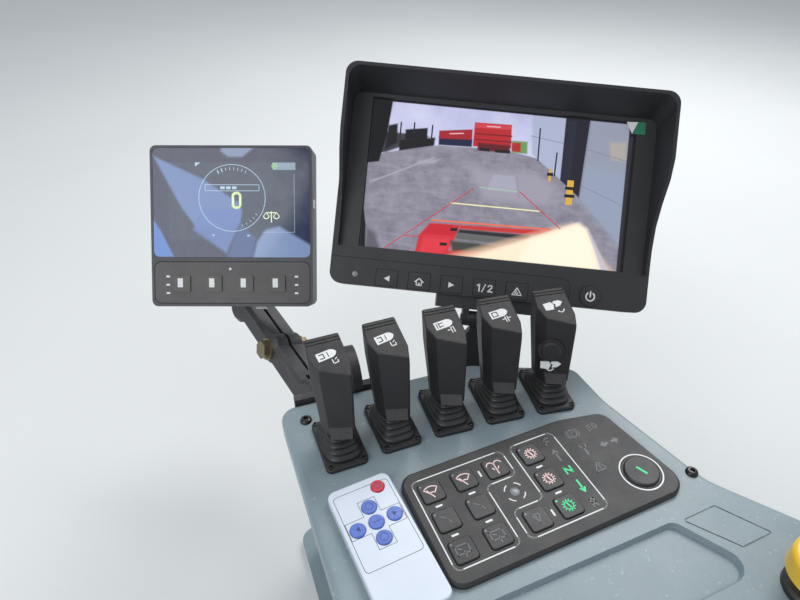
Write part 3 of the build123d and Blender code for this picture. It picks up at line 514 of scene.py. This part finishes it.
def monitorScreenFinish():
    tree, given, out = newGroup("yardPicture", [("Unlit", "color")], [("Color", "color"), ("Lit", "value")])
    spot, x, y = screenPlace(tree, monitorFace)
    cloud = noise(tree, spot, 0.035, 4)
    sky = mixColor(tree, ranged(tree, y, 24, 58), srgb(200, 202, 232), srgb(178, 180, 216))
    color = mixColor(tree, ranged(tree, cloud, 0.4, 0.7), sky, srgb(206, 208, 234))
    for i, (corners, tint, soft) in enumerate(yard):
        shade = srgb(*tint)
        if i == 0:      # paving with blotches and faint streaks that run away from the truck
            blotch = ranged(tree, noise(tree, spot, 0.06, 6, 0.7), 0.35, 0.65)
            shade = mixColor(tree, blotch, srgb(122, 119, 134), srgb(148, 145, 158))
            longX, longY = math2(tree, "MULTIPLY", x, 0.03), math2(tree, "MULTIPLY", y, 0.12)
            stretched = addNode(tree, "CombineXYZ", {0: longX, 1: longY, 2: 0.0}).outputs[0]
            streak = ranged(tree, noise(tree, stretched, 2.0, 3, 0.6), 0.5, 0.62)
            shade = mixColor(tree, math2(tree, "MULTIPLY", streak, 0.3), shade, srgb(166, 163, 176))
        color = mixColor(tree, softShape(tree, spot, corners, soft), color, shade)
    lit = softShape(tree, spot, monitorScreen["picture"], 0.6)
    tree.links.new(mixColor(tree, lit, given["Unlit"], color), out["Color"])
    tree.links.new(lit, out["Lit"])
    return screenMaterial("monitorScreen", tree, monitorScreen)


displayScreen = {"picture": [(-50.6, 51.0), (51.6, 51.0), (51.4, -10.6), (-50.6, -10.6)], "glow": 0.5,
                 "unlit": srgb(42, 52, 80)}
# painted reflection of the sky in the display's glass: corners, colour, softness, strength
paintedSkyReflection = [
    ([(-66, 62), (-46.8, 53.4), (-22.5, 37.4), (3.1, 25.5), (7.8, 13.4), (6.5, 2.7), (-30.6, -2.7),
      (-40, 14.8), (-66, 50)], (116, 148, 206), 2.4, 0.92),
    ([(8, 13), (6.6, 2.6), (-4.6, -21.5), (-31, -2.6), (-24, 14)], (104, 138, 204), 3.0, 0.9),
    ([(-66, 10), (-56.9, -4), (-47, -24.4), (-66, -24.4)], (88, 140, 226), 1.8, 0.95),
    ([(7, 2), (19.3, -9), (16.6, -27), (-4.2, -27), (-3, -22)], (66, 100, 160), 3.0, 0.85),
    ([(16.6, -27), (20.6, -12), (27.4, -2.7), (38.1, 0), (66, -16.5), (66, -27)], (146, 172, 218), 2.6, 0.92),
    ([(-8.4, 60), (-2.3, 55.4), (9, 55.4), (20, 64), (-7, 64)], (150, 168, 208), 2.4, 0.8),
]


def displayScreenFinish():
    tree, given, out = newGroup("truckScreen", [("Unlit", "color")], [("Color", "color"), ("Lit", "value")])
    spot, _, y = screenPlace(tree, displayFace)
    color = mixColor(tree, ranged(tree, y, -30, 64), srgb(26, 44, 86), srgb(22, 36, 70))
    lit = softShape(tree, spot, displayScreen["picture"], 0.7)
    color = mixColor(tree, math2(tree, "MULTIPLY", lit, 0.8), color, srgb(46, 64, 90))
    # painted reflection: the sky's shapes are mixed into the glass colour, so they also glow with the screen
    for corners, tint, soft, strength in paintedSkyReflection:
        mask = math2(tree, "MULTIPLY", softShape(tree, spot, corners, soft), strength)
        color = mixColor(tree, mask, color, srgb(*tint))
    # smudges on the glass, drawn as a painted pale blue sheen
    smudgeAndSheen = ranged(tree, noise(tree, spot, 0.12, 5, 0.7), 0.4, 0.8, 0.0, 0.12)
    color = mixColor(tree, smudgeAndSheen, color, srgb(110, 126, 166))
    tree.links.new(color, out["Color"])
    tree.links.new(lit, out["Lit"])
    return screenMaterial("displayScreen", tree, displayScreen)


def screenMaterial(name, group, look):
    material = bpy.data.materials.new(name)
    material.use_nodes = True
    tree = material.node_tree
    shader = tree.nodes["Principled BSDF"]
    picture = useGroup(tree, group, unlit=look["unlit"])
    dimmed = mixColor(tree, 0.72, picture.outputs["Color"], (0, 0, 0, 1))
    tree.links.new(dimmed, shader.inputs["Base Color"])
    tree.links.new(picture.outputs["Color"], shader.inputs["Emission Color"])
    shader.inputs["Emission Strength"].default_value = look["glow"]
    gloss = useGroup(tree, glossGroup, roughness=0.12, spread=0.05, scale=60.0, dustMask=0.0)
    tree.links.new(gloss.outputs["Roughness"], shader.inputs["Roughness"])
    return material


# finishes on the CAD nodes
nodeFinish = {
    "consolePaint": ["console_cover", "console_shell", "base_plate"],
    "keypadPlastic": ["keypad_frame"],
    "keyPlastic": ["keypad_keys", "start_button"],
    "remoteWhite": ["remote_body"],
    "gripPlastic": ["lever_button"] + [f"lever_handle_{i}" for i in range(1, 6)],
    "flangePlastic": [f"lever_base_{i}" for i in range(1, 6)],
    "knobBlack": ["brake_bezel", "arm_star_knob"],
    "knobYellow": ["brake_knob"],
    "monitorPlastic": ["monitor_case", "monitor_keys"],
    "hoodPlastic": ["monitor_hood"],
    "remoteButtons": ["remote_buttons"],
    "bracketSteel": ["monitor_foot", "monitor_post", "monitor_shelf"],
    "displayPlastic": ["display_case"],
    "displayKey": ["display_keys"],
    "armAlloy": ["display_mount", "arm_half_left", "arm_half_right", "arm_foot"],
    "boltSteel": ["arm_bolt"],
}


def dress(node, material):
    mesh = nodes[node].data
    mesh.materials.clear()
    mesh.materials.append(material)


for name, group in nodeFinish.items():
    for node in group:
        dress(node, finish[name])
dress("monitor_glass", monitorScreenFinish())
dress("display_glass", displayScreenFinish())
print("CAD nodes dressed")


# rubber bellows
bellows = {"ribs": 4, "perRib": 9, "around": 64, "low": 3.55, "high": 15.6, "slant": 0.2, "square": 3.2,
           "halfWide": (13.0, 9.0), "front": (-18.6, -11.4), "back": (18.4, 9.0), "ribDepth": 2.6,
           "bulge": 0.55, "step": 0.12, "hole": 6.6, "holeRings": 6, "blend": (3.5, 15.0)}


def leverMiddle(z):         # y of the lever's axis at this height
    y, low = lever["pivot"]
    return y + (z - low) * math.tan(math.radians(lever["lean"]))


def buildBellows(number, row):
    place = leverFlange(row)
    ribs, low, high = bellows["ribs"], bellows["low"], bellows["high"]
    count = ribs * bellows["perRib"]
    verts, rings = [], []

    def ring(halfWide, front, back, z, power, slant):
        at = len(verts)
        for k in range(bellows["around"]):
            a = 2 * math.pi * k / bellows["around"]
            c, s = math.cos(a), math.sin(a)
            x = halfWide * math.copysign(abs(c) ** (2 / power), c)
            y = (front + back) / 2 + (back - front) / 2 * math.copysign(abs(s) ** (2 / power), s)
            verts.append(place @ (Vector((x, y, z - y * slant)) / 1000))
        rings.append([at + k for k in range(bellows["around"])])

    for i in range(count + 1):
        t = i / count
        rib = max(i - 1, 0) // bellows["perRib"]
        inRib = i % bellows["perRib"] / bellows["perRib"] if i < count else 1.0
        bulge = math.sin(math.pi * inRib) ** bellows["bulge"] if 0 < inRib < 1 else 0.0
        slide = rib / (ribs - 1) + (inRib - 0.5) * bellows["step"]
        inset = bellows["ribDepth"] * (1 - bulge)
        spans = bellows["halfWide"], bellows["front"], bellows["back"]
        wide, front, back = (a + (b - a) * slide for a, b in spans)
        ring(wide - inset, front + inset, back - inset, low + (high - low) * t, bellows["square"],
             bellows["slant"] * t)
    for i in range(bellows["holeRings"]):
        t = 1 - i / (bellows["holeRings"] - 1)
        z = low + (high - low) * t
        ring(bellows["hole"], leverMiddle(z) - bellows["hole"], leverMiddle(z) + bellows["hole"], z, 2.0,
             bellows["slant"] * t)
    faces = []
    for one, two in zip(rings, rings[1:] + rings[:1]):
        for k in range(bellows["around"]):
            j = (k + 1) % bellows["around"]
            faces.append((one[k], one[j], two[j], two[k]))
    mesh = bpy.data.meshes.new("bellows")
    mesh.from_pydata(verts, [], faces)
    piece = finishPiece(f"bellows{number}", mesh, "bellowsRubber", None, 70)
    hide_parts(f"lever_bellows_{number}")
    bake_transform(piece)


for number, row in enumerate(leverRows, start=1):
    buildBellows(number, row)
print("bellows made")

# screws
buttonHead = [(0.0, -0.6), (4.0, -0.6), (4.0, 0.4), (3.7, 1.3), (2.9, 1.95), (2.0, 2.2), (1.7, 2.2),
              (1.5, 0.9), (0.0, 0.9)]
lathed("coverScrews", buttonHead, [onPanel(158.9, -70.2), onPanel(-53.0, 67.9), onPanel(-60.0, -196.0),
                                   onPanel(180.0, -196.0)], "blackScrew", "console", 30)
smallHead = [(0.0, -0.5), (1.8, -0.5), (1.8, 0.35), (1.5, 0.8), (0.8, 1.0), (0.6, 0.35), (0.0, 0.35)]
flangeHoles = [(x, y) for x in (-11.2, 11.2) for y in (-18.9, 18.9)]
flangeSpots = [leverFlange(row) @ shift(x, y, 3.4) for row in leverRows for x, y in flangeHoles]
lathed("flangeScrews", smallHead, flangeSpots, "blackScrew", "console", 20)

# keypad print
keypadPrint = {"line": 0.75, "icon": 0.7, "dash": (4.4, 1.25)}
leftFrame = roundedLine([(-9.6, -9.9, 4), (54.4, -9.9, 4), (54.4, -29.8, 4), (32.0, -29.8, 4),
                         (32.0, -70.7, 4), (-9.6, -70.7, 4)])
rightFrame = roundedLine([(60.3, -9.9, 4), (93.0, -9.9, 4), (93.0, -70.7, 4), (38.1, -70.7, 4),
                          (38.1, -50.8, 4), (60.3, -50.8, 4)])
frameWhite = stroke(leftFrame, keypadPrint["line"], True) + stroke(rightFrame, keypadPrint["line"], True)
frameWhite += arc(*startButton, 13.2, 0.9)
for x in (firstColumn, secondColumn, gearColumn):
    frameWhite += slab(x, -30.6, *keypadPrint["dash"]) + slab(x, -51, *keypadPrint["dash"])
for x, y in [(33.4, topRow), (59.5, lowRow)]:
    frameWhite += slab(x, y, keypadPrint["dash"][1], keypadPrint["dash"][0])
for angle in (0, 90, 180, 270):
    frameWhite += arc(46.5, -40.1, 6.3, 0.7, angle + 24, angle + 66, 10)
printed("keypadLines", frameWhite, onPanel(0, 0), frameTop, "printWhite")
lathed("keypadSensor", [(0, -0.3), (3.0, -0.3), (3.0, 0.25), (2.4, 0.6), (0, 0.75)],
       [onPanel(46.5, -40.1, frameTop)], "lensGrey", "console", 28)


def wiper(rear=False):
    w = keypadPrint["icon"]
    if rear:
        window = stroke([(-4.4, -2.2), (-4.4, 3.0), (3.6, 3.0), (3.6, -2.2)], w, True)
        return window + stroke([(0, -4.4), (0, 0), (-3, 1.4)], w)
    return (arc(0, -3.2, 6.8, w, 50, 130, 10) + arc(0, -3.2, 2.6, w, 50, 130, 8) +
            stroke([(4.37, 2.0), (1.67, -1.2)], w) + stroke([(-4.37, 2.0), (-1.67, -1.2)], w) +
            stroke([(-2.6, 1.2), (0.2, -4.2)], w))


def spray():
    w = keypadPrint["icon"]
    return (stroke([(0, -5.0), (0, 2.6)], w) + arc(-2.6, 1.6, 2.6, w, 20, 170, 8) +
            arc(2.6, 1.6, 2.6, w, 10, 160, 8) + stroke([(-2.2, -0.2), (-1.4, -1.4)], w) +
            stroke([(2.2, -0.2), (1.4, -1.4)], w))


def gear():
    w = keypadPrint["icon"]
    teeth = [line for k in range(12) for line in ray(0, 0, 3.0, 3.8, 30 * k, w)]
    return arc(0, 0, 2.7, w) + teeth + stroke([(-0.3, 1.5), (0.5, -1.5)], w + 0.3)


bend = stroke([(-3.0, 2.8), (0.4, 0.2), (1.8, -2.8)], 0.6)
funnel = stroke([(-2.6, 2.8), (2.6, 2.8), (0, -3.0)], 0.6, True) + stroke([(-0.8, 1.6), (-0.2, -1.4)], 0.6)
pinkIcons = placed(spray(), thirdColumn, topRow) + placed(gear(), gearColumn, topRow)
pinkIcons += placed(gear(), gearColumn, middleRow)
dimIcons = placed(funnel, funnelColumn, lowRow)
for x in (firstColumn, secondColumn):
    pinkIcons += placed(wiper(), x, topRow)
    dimIcons += placed(bend, x, middleRow) + placed(wiper(rear=True), x, lowRow)
printed("keypadIcons", pinkIcons, onPanel(0, 0), keyTop, "printPink")
printed("keypadDimIcons", dimIcons, onPanel(0, 0), keyTop, "printDim")
printed("keypadGreenIcon", placed(gear(), gearColumn, lowRow), onPanel(0, 0), keyTop, "printGreen")
leds = []
ledKeys = [(x, y) for x in (firstColumn, secondColumn) for y in (topRow, middleRow, lowRow)]
for x, y in ledKeys + [(gearColumn, topRow), (gearColumn, middleRow), (funnelColumn, lowRow)]:
    leds += disc(x - 5.4, y + 5.0, 0.55, 12)
printed("keypadLeds", leds, onPanel(0, 0), keyTop, "lensGrey")
printed("keypadLedOn", disc(gearColumn - 5.4, lowRow + 5.0, 0.7, 14), onPanel(0, 0), keyTop, "printGreen")

# lamps: F and its arrow, R, P in its ring, headlamp, spanner, two turn arrows, triangle
panelDim = stroke([(84.6, -18.4), (84.6, -13.4), (88.0, -13.4)], 0.9)
panelDim += stroke([(84.6, -16.0), (87.2, -16.0)], 0.9)
panelDim += stroke([(86, -32.0), (86, -26.0)], 1.3) + [[(83.6, -26.2), (88.4, -26.2), (86, -22.4)]]
panelDim += stroke([(84.6, -67.4), (84.6, -62.4), (87.2, -62.4), (87.2, -64.8), (84.8, -64.9), (87.6, -67.4)],
                   0.9)
panelDim += stroke([(104.7, -18.8), (104.7, -15.0), (106.5, -15.2), (106.4, -16.8), (104.8, -16.9)], 0.6)
panelDim += arc(105.6, -16.9, 3.1, 0.7)
panelDim += arc(105.6, -16.9, 4.6, 0.6, 130, 230, 10) + arc(105.6, -16.9, 4.6, 0.6, -50, 50, 10)
panelDim += arc(122.2, -16.9, 2.4, 0.7, -90, 90, 10) + stroke([(122.2, -19.3), (122.2, -14.5)], 0.7)
for dy in (-1.8, 0, 1.8):
    panelDim += stroke([(120.6, -16.9 + dy), (117.6, -17.5 + dy)], 0.6)
panelDim += stroke([(105.0, -35.0), (105.6, -29.4)], 1.2) + arc(105.8, -27.6, 2.0, 0.9, 150, 390, 10)
arrow = [[(-3.65, 0), (-0.25, 2.8), (-0.25, 1.0), (2.35, 1.0), (2.35, -1.0), (-0.25, -1.0), (-0.25, -2.8)]]
panelDim += placed(arrow, 120.05, -32.4) + placed(arrow, 127.35, -32.4, 180)
panelDim += stroke([(101.6, -48.2), (105.6, -41.4), (109.6, -48.2)], 0.7, True)
panelDim += stroke([(105.6, -43.8), (105.6, -46.0)], 0.8) + disc(105.6, -47.1, 0.45, 10)
printed("keypadLamps", panelDim, onPanel(0, 0), frameTop, "printDim")
neutral = stroke([(83.8, -42.0), (83.8, -37.6), (88.0, -42.0), (88.0, -37.6)], 1.1)
neutral += stroke([(86, -48.4), (86, -54.0)], 1.3) + [[(83.6, -53.8), (86, -57.6), (88.4, -53.8)]]
printed("neutralLamp", neutral, onPanel(0, 0), frameTop, "printGreen")
printed("startBar", placed(slab(0, 0, 1.5, 7.4), *startButton, 24), onPanel(0, 0), 5.6, "printGreen")

# remote print
card = stroke(roundedLine([(-17.6, 37.8, 2.5), (17.6, 37.8, 2.5), (17.6, -13.2, 2.5), (-17.6, -13.2, 2.5)]),
              0.28, True)
cross = [(-5.4, 29.0), (5.4, 29.0), (5.4, 18.8), (17.0, 18.8), (17.0, 7.6), (5.4, 7.6), (5.4, -3.4),
         (-5.4, -3.4), (-5.4, 7.6), (-17.2, 7.6), (-17.2, 18.8), (-5.4, 18.8)]
card += stroke(cross, 0.26, True)
printed("remoteLines", card, remoteFace, 0.0, "printDark", thick=0.06)
marks = [[(-13.0, 12.5), (-10.6, 14.2), (-10.6, 10.8)], [(13.0, 13.3), (10.6, 15.0), (10.6, 11.6)]]
marks += arc(0, 23.6, 2.3, 0.35) + arc(0, 2.2, 2.3, 0.35) + stroke([(-2.2, 12.9), (2.2, 12.9)], 0.5)
marks += arc(*powerKey, 1.8, 0.35)
printed("remoteMarks", marks, remoteFace, 1.0, "printBlueDark", thick=0.06)


# lever pictograms: a truck from above with what moves
def truckMark(kind):
    body = [[(-4.8, -2.2), (2.4, -2.2), (4.0, -1.5), (5.0, 0), (4.0, 1.5), (2.4, 2.2), (-4.8, 2.2)]]
    if kind == 5:
        body = [[(-5.2, -1.9), (-0.9, -2.5), (0.2, 0.2), (-0.8, 2.2), (-5.2, 2.2)],
                [(0.6, -1.6), (3.4, -1.2), (5.4, 0.6), (3.8, 2.0), (0.9, 2.2), (0.0, 1.2), (1.2, 0.2)]]
    return body


# lines inside and below the truck: width and points
insideLines = {1: [(0.5, [(-3.4, -1.1), (-1.4, -1.1), (-1.4, 1.1), (-3.4, 1.1)]),
                   (0.4, [(0.6, -1.2), (0.6, 1.2)])],
               2: [(0.5, [(-3.6, 1.3), (-3.6, -1.3)]), (0.5, [(-2.4, 1.3), (-2.4, -1.3)]),
                   (0.45, [(-2.4, 0.9), (-0.4, 0.9)]), (0.45, [(-2.4, -0.9), (-0.4, -0.9)])],
               3: [(0.5, [(-3.6, -1.2), (-0.8, -1.2), (-0.8, 1.2), (-3.6, 1.2), (-3.6, -1.2)])],
               5: []}
belowLines = {1: [(0.5, [(-1.2, 0.9), (-1.2, -1.2), (1.2, -1.2), (1.2, -0.2)]),
                  (0.4, [(0.2, 0.7), (1.2, 1.2)])],
              2: [(0.5, [(-0.2, 1.5), (-0.2, -1.5)]), (0.5, [(1.2, 1.5), (1.2, -1.5)]),
                  (0.5, [(-1.9, 0.3), (-1.1, 0.3)]), (0.4, [(-0.2, 1.3), (0.4, 1.3)])],
              3: [(0.5, [(-0.6, 1.4), (-0.6, -1.4)]), (0.5, [(0.6, 1.4), (0.6, -1.4)]),
                  (0.45, [(-2.2, 0.4), (-1.2, 0.4)]), (0.45, [(1.2, 0.4), (2.2, 0.4)])]}


def drawn(rows):
    return [strip for width, points in rows for strip in stroke(points, width)]


def markBelow(kind):
    if kind in belowLines:
        return drawn(belowLines[kind])
    tips = [[(1.0, 0.4), (2.0, 0.7), (1.6, -0.5)], [(-1.0, 0.4), (-2.0, 0.7), (-1.6, -0.5)]]
    return arc(0, 0.4, 1.2, 0.45, 200, 340, 8) + tips


markSize = lever["markSize"]
for number, (row, kind) in enumerate(zip(leverRows, lever["marks"]), start=1):
    gripTop = leverAxis(row) @ shift(0, *lever["gripTop"]) @ turn("X", lever["topSlope"])
    white = placed(truckMark(kind), -0.4, -14.8, 9, markSize)
    white += placed(markBelow(kind), 3.8, -19.8, 9, markSize)
    printed(f"leverMark{number}", white, gripTop, 0.0, "printWhite", f"lever_{number}", 0.1)
    inside = placed(drawn(insideLines[kind]), -0.4, -14.8, 9, markSize)
    if inside:
        printed(f"leverMarkDark{number}", inside, gripTop, 0.06, "gripPlastic", f"lever_{number}", 0.1)
gripFront = leverAxis(leverRows[4]) @ turn("Z", lever["frontTurn"])
gripFront = gripFront @ shift(0, -lever["gripFront"]) @ turn("X", 90)
frontMark = placed(truckMark(5), 0.4, 43.6, 3, markSize) + placed(markBelow(5), 0.2, 40.0, 0, markSize)
printed("leverFrontMark", frontMark, gripFront, -0.42, "printWhite", "lever_5", 0.55)
print("printed marks made")

# monitor trim
monitorPrint = [[(-79.6, -80.4), (-75.2, -78.2), (-75.2, -82.6)],
                [(-25.4, -80.4), (-29.8, -78.2), (-29.8, -82.6)]]
monitorPrint += stroke([(-55.4, -80.6), (-52.4, -77.9), (-49.4, -80.6)], 0.9)
monitorPrint += stroke([(-54.4, -80.8), (-54.4, -83.2), (-50.4, -83.2), (-50.4, -80.8)], 0.8)
monitorPrint += slab(-52.4, -82.2, 1.3, 1.8)
monitorPrint += stroke([(-7.6, -78.6), (-6.2, -77.8), (-6.2, -82.8)], 1.0)
monitorPrint += stroke([(-4.0, -83.2), (-1.6, -77.6)], 0.8)
monitorPrint += stroke([(0.6, -78.8), (1.6, -77.9), (3.0, -78.0), (3.6, -79.2), (0.6, -82.7), (3.8, -82.7)],
                       0.95)
monitorPrint += stroke([(19.0, -83.0), (22.6, -77.4), (26.2, -83.0)], 0.7, True)
monitorPrint += stroke([(22.6, -79.4), (21.2, -82.0), (23.6, -81.2), (22.4, -82.8)], 0.6)
monitorPrint += arc(78.5, -78.6, 3.2, 1.1, 120, 420, 24) + stroke([(78.5, -75.0), (78.5, -78.6)], 1.1)
printed("monitorIcons", monitorPrint, monitorFace, monitorKeyTop, "printWhite", "monitor", 0.06)
lathed("monitorSensor", [(0, -0.4), (2.1, -0.4), (2.1, 0.15), (1.6, 0.3), (0, 0.35)],
       [monitorFace @ shift(-101.9, -79.3, bezelTop)], "lensGrey", "monitor", 24)
seamLine = stroke([(-121.0, -66.8), (56.5, -66.8), (60.5, -68.2), (62.6, -72.0)], 0.55)
seamLine += stroke([(62.6, -72.0), (62.6, -87.0)], 0.55)
printed("monitorSeam", seamLine, monitorFace, bezelTop, "seamBlack", "monitor", 0.05)
filmTab = [(98.7, 48.1), (107.6, 48.4), (107.4, 57.6), (101.2, 57.6)]
printed("filmTab", [filmTab], monitorFace, bezelTop, "filmGreen", "monitor", 0.2)
filmCorner = [(92.9, 56.8), (101.4, 57.4), (97.7, 48.1)]
printed("filmCorner", [filmCorner], monitorFace, bezelTop + 0.15, "printWhite", "monitor", 0.25)

# display trim
def screenInk(name, *tint):
    finish[name] = makeFinish(name, {"tones": (tint, tint), "roughness": 0.3, "glow": 0.45, "dust": 0.0,
                                     "grain": 0.02})
    return name


paleInk = screenInk("inkPale", 160, 184, 200)
gauge = (0.5, 22.7)
panel = arc(*gauge, 26.6, 0.5, steps=40)
panel += stroke([(-21.0, 33.2), (22.2, 33.2), (22.2, 28.4), (-21.0, 28.4)], 0.45, True)
for k in range(8):
    panel += ray(*gauge, 22.4, 24.4, 118 - 8 * k, 0.9 if k < 2 else 0.45)
for k in range(5):
    panel += ray(*gauge, 22.6, 24.2, -70 + 9 * k, 0.4)
panel += slab(-7.0, 30.8, 3.6, 2.2) + slab(-2.4, 30.8, 3.6, 2.2) + slab(2.4, 30.8, 3.6, 2.2)
panel += stroke([(24.6, -4.6), (50.6, -4.6)], 0.25) + stroke([(50.4, 41.8), (50.4, -4.6)], 0.25)
panel += [[(12.6, -6.2), (15.0, -7.3), (12.6, -8.4)], [(-16.0, -6.4), (-13.6, -6.4), (-14.8, -8.2)]]
panel += [[(-28.8, 50.8), (-28.8, 47.6), (-24.6, 50.8)]]
printed("displayGauge", panel, displayFace, 0.0, paleInk, "display", 0.05)
printed("displayBar", slab(42.4, 48.0, 18.2, 5.8), displayFace, 0.0, screenInk("inkBar", 132, 148, 160),
        "display", 0.05)
printed("displayLamp", arc(34.7, 48.2, 2.0, 0.7) + disc(34.7, 48.2, 0.8, 14), displayFace, 0.06,
        screenInk("inkGreen", 150, 196, 120), "display", 0.05)
balance = stroke([(31.9, 3.6), (31.9, 11.6)], 0.9) + stroke([(28.0, 11.0), (35.8, 11.0)], 0.8)
for x in (27.8, 36.0):
    balance += arc(x, 8.4, 2.2, 0.8, 180, 360, 10) + stroke([(x - 2.2, 8.4), (x, 11.0), (x + 2.2, 8.4)], 0.6)
balance += stroke(roundedLine([(1.2, 26.6, 2.6), (7.0, 26.6, 2.6), (7.0, 15.0, 2.6), (1.2, 15.0, 2.6)]), 1.9,
                  True)
printed("displayFigures", balance, displayFace, 0.0, screenInk("inkYellow", 206, 220, 176), "display", 0.05)

# lines and small things in the yard's picture: colour, lines, width
yardInk = {
    "Red": ((190, 46, 56), [[(-81.8, -57), (-18, -4.6)], [(18, -3.4), (51.6, -28.8)],
                            [(-66.6, -45.8), (-36, -45)]], 0.7),
    "Orange": ((236, 104, 62), [[(-46.8, -31.8), (44, -30)]], 1.1),
    "Yellow": ((232, 226, 172), [[(-33.7, -17.2), (34, -16.9)]], 0.9),
    "Green": ((150, 186, 158), [[(-13, -3), (16, -3.6)]], 0.7),
    "Joint": ((122, 128, 146), [[(22, 40.4), (47.6, 37)], [(66.4, 34), (96.8, 28)], [(64.8, 5.6), (97, -6.4)],
                                [(67, 55.8), (64.2, -3.6)], [(14.8, 7.6), (17.8, -8)]], 0.5),
    "Pipe": ((32, 34, 48), [[(28.8, 46.5), (29.3, 22)], [(43.4, 29), (43.1, 11.6)],
                            [(-78.4, 41), (-78.2, 24)], [(-54, 41), (-54, 30)],
                            [(-68, 41.6), (-68, 34)]], 1.1),
    "Wheel": ((26, 20, 24), [[(-15, 26.4), (-9.4, 26.4)], [(-3, 26.2), (1, 26.2)],
                             [(3.4, 26.4), (6.4, 26.4)], [(53.5, 2.9), (58.7, 3)],
                             [(53.4, -3), (58.8, -2.9)], [(38.6, 12.2), (40.8, 12.3)],
                             [(-31.2, -37.5), (-28.2, -37.4)], [(-38.2, -49.5), (-35, -49.4)]], 2.4),
    "Bollard": ((212, 164, 58), [[(56.1, 6.6), (56.1, -7.3)]], 5.0),
    "SmallBollard": ((200, 160, 72), [[(39.7, 15.6), (39.7, 8)]], 2.2),
    "Pale": ((222, 168, 172), [[(-12, 44.4), (-2, 44.7)], [(-40, 36), (-30, 37.2)]], 0.9),
    "Dark": ((116, 26, 32), [[(-20, 38), (7.4, 38.6)], [(-20, 33.6), (7.4, 34)]], 1.1),
}
for name, (tint, rows, width) in yardInk.items():
    shapes = [line for row in rows for line in stroke(row, width)]
    level = 0.0 if name in ("Bollard", "SmallBollard") else 0.02
    printed(f"yard{name}", shapes, monitorFace, level, screenInk(f"yardInk{name}", *tint), "monitor", 0.03)

panelEdge = roundedLine([(-62.6, -28.4, 5.4), (62.6, -28.4, 5.4), (62.6, -62.0, 5.4), (-62.6, -62.0, 5.4)])
printed("displayPanelEdge", stroke(panelEdge, 0.6, True), displayFace, 0.0, "seamBlack", "display", 0.05)
printed("displayPanel", [panelEdge], displayFace, -0.04, "keyPanel", "display", 0.06)
windows, panelLeds = [], disc(-1.6, -34.2, 1.0, 16)
for x in (-41.7, -16.4, 9.0, 34.8):
    windows += slab(x, -45.4, 4.2, 7.2)
for x in (-51.8, 51.8):
    for y in (-40.3, -47.0, -53.7):
        panelLeds += slab(x, y, 2.8, 1.5)
printed("displayWindows", windows, displayFace, 1.2, "printWhite", "display", 0.1)
printed("displayLeds", panelLeds, displayFace, 0.05, "printWhite", "display", 0.3)
clipPlace = displayFace @ shift(64.6, 18.0, -3.0) @ turn("Y", 90)
printed("displayClip", slab(0, 0, 5.0, 7.0), clipPlace, 0.0, "clipPale", "display", 2.0)
socket = roundedLine([(-5, -2.4, 1.2), (5, -2.4, 1.2), (5, 2.4, 1.2), (-5, 2.4, 1.2)])
socketPlace = displayFace @ shift(22.0, -64.4, -9.0) @ turn("X", 90)
printed("displaySocket", [socket], socketPlace, 0.0, "clipPale", "display", 2.6)
print("screens and trim made")

# camera, floor and light
view = {"eye": (-104.5, -211.2, 317.6), "right": (0.9171, -0.3987, 0.0020), "up": (0.2416, 0.5598, 0.7926),
        "lens": 26.97, "sensor": 36, "near": 0.01}
camera = bpy.data.objects.new("camera", bpy.data.cameras.new("camera"))
bpy.context.scene.collection.objects.link(camera)
right, up = Vector(view["right"]).normalized(), Vector(view["up"]).normalized()
back = right.cross(up)
camera.matrix_world = onPanel(*view["eye"]) @ Matrix((right, up, back)).transposed().to_4x4()
camera.data.lens = view["lens"]
camera.data.sensor_width = view["sensor"]
camera.data.clip_start = view["near"]
bpy.context.scene.camera = camera
bpy.context.scene.view_settings.view_transform = "Standard"

light = {"sky": (0.86, 0.91, 1.0, 1), "skyLevel": 0.6, "floorHalf": 6}
# lamps: watts, size, place, target in metres
lamps = {"windowLamp": (22, 1.0, (0.9, 0.9, 1.4), (0.0, 0.05, 0.15)),
         "sideLamp": (7, 0.8, (-1.0, -0.3, 1.0), (0.0, 0.0, 0.15))}
world = bpy.data.worlds.new("world")
bpy.context.scene.world = world
world.use_nodes = True
world.node_tree.nodes["Background"].inputs[0].default_value = light["sky"]
world.node_tree.nodes["Background"].inputs[1].default_value = light["skyLevel"]
floorMesh = bpy.data.meshes.new("floor")
half = light["floorHalf"]
floorMesh.from_pydata([(-half, -half, 0), (half, -half, 0), (half, half, 0), (-half, half, 0)], [],
                      [(0, 1, 2, 3)])
floor = bpy.data.objects.new("floor", floorMesh)
bpy.context.scene.collection.objects.link(floor)
floorMesh.materials.append(finish["floor"])
for name, (watts, size, place, target) in lamps.items():
    lamp = bpy.data.objects.new(name, bpy.data.lights.new(name, "AREA"))
    lamp.data.energy = watts
    lamp.data.size = size
    lamp.location = place
    lamp.rotation_euler = (Vector(target) - Vector(place)).to_track_quat("-Z", "Y").to_euler()
    bpy.context.scene.collection.objects.link(lamp)
print("stage set")
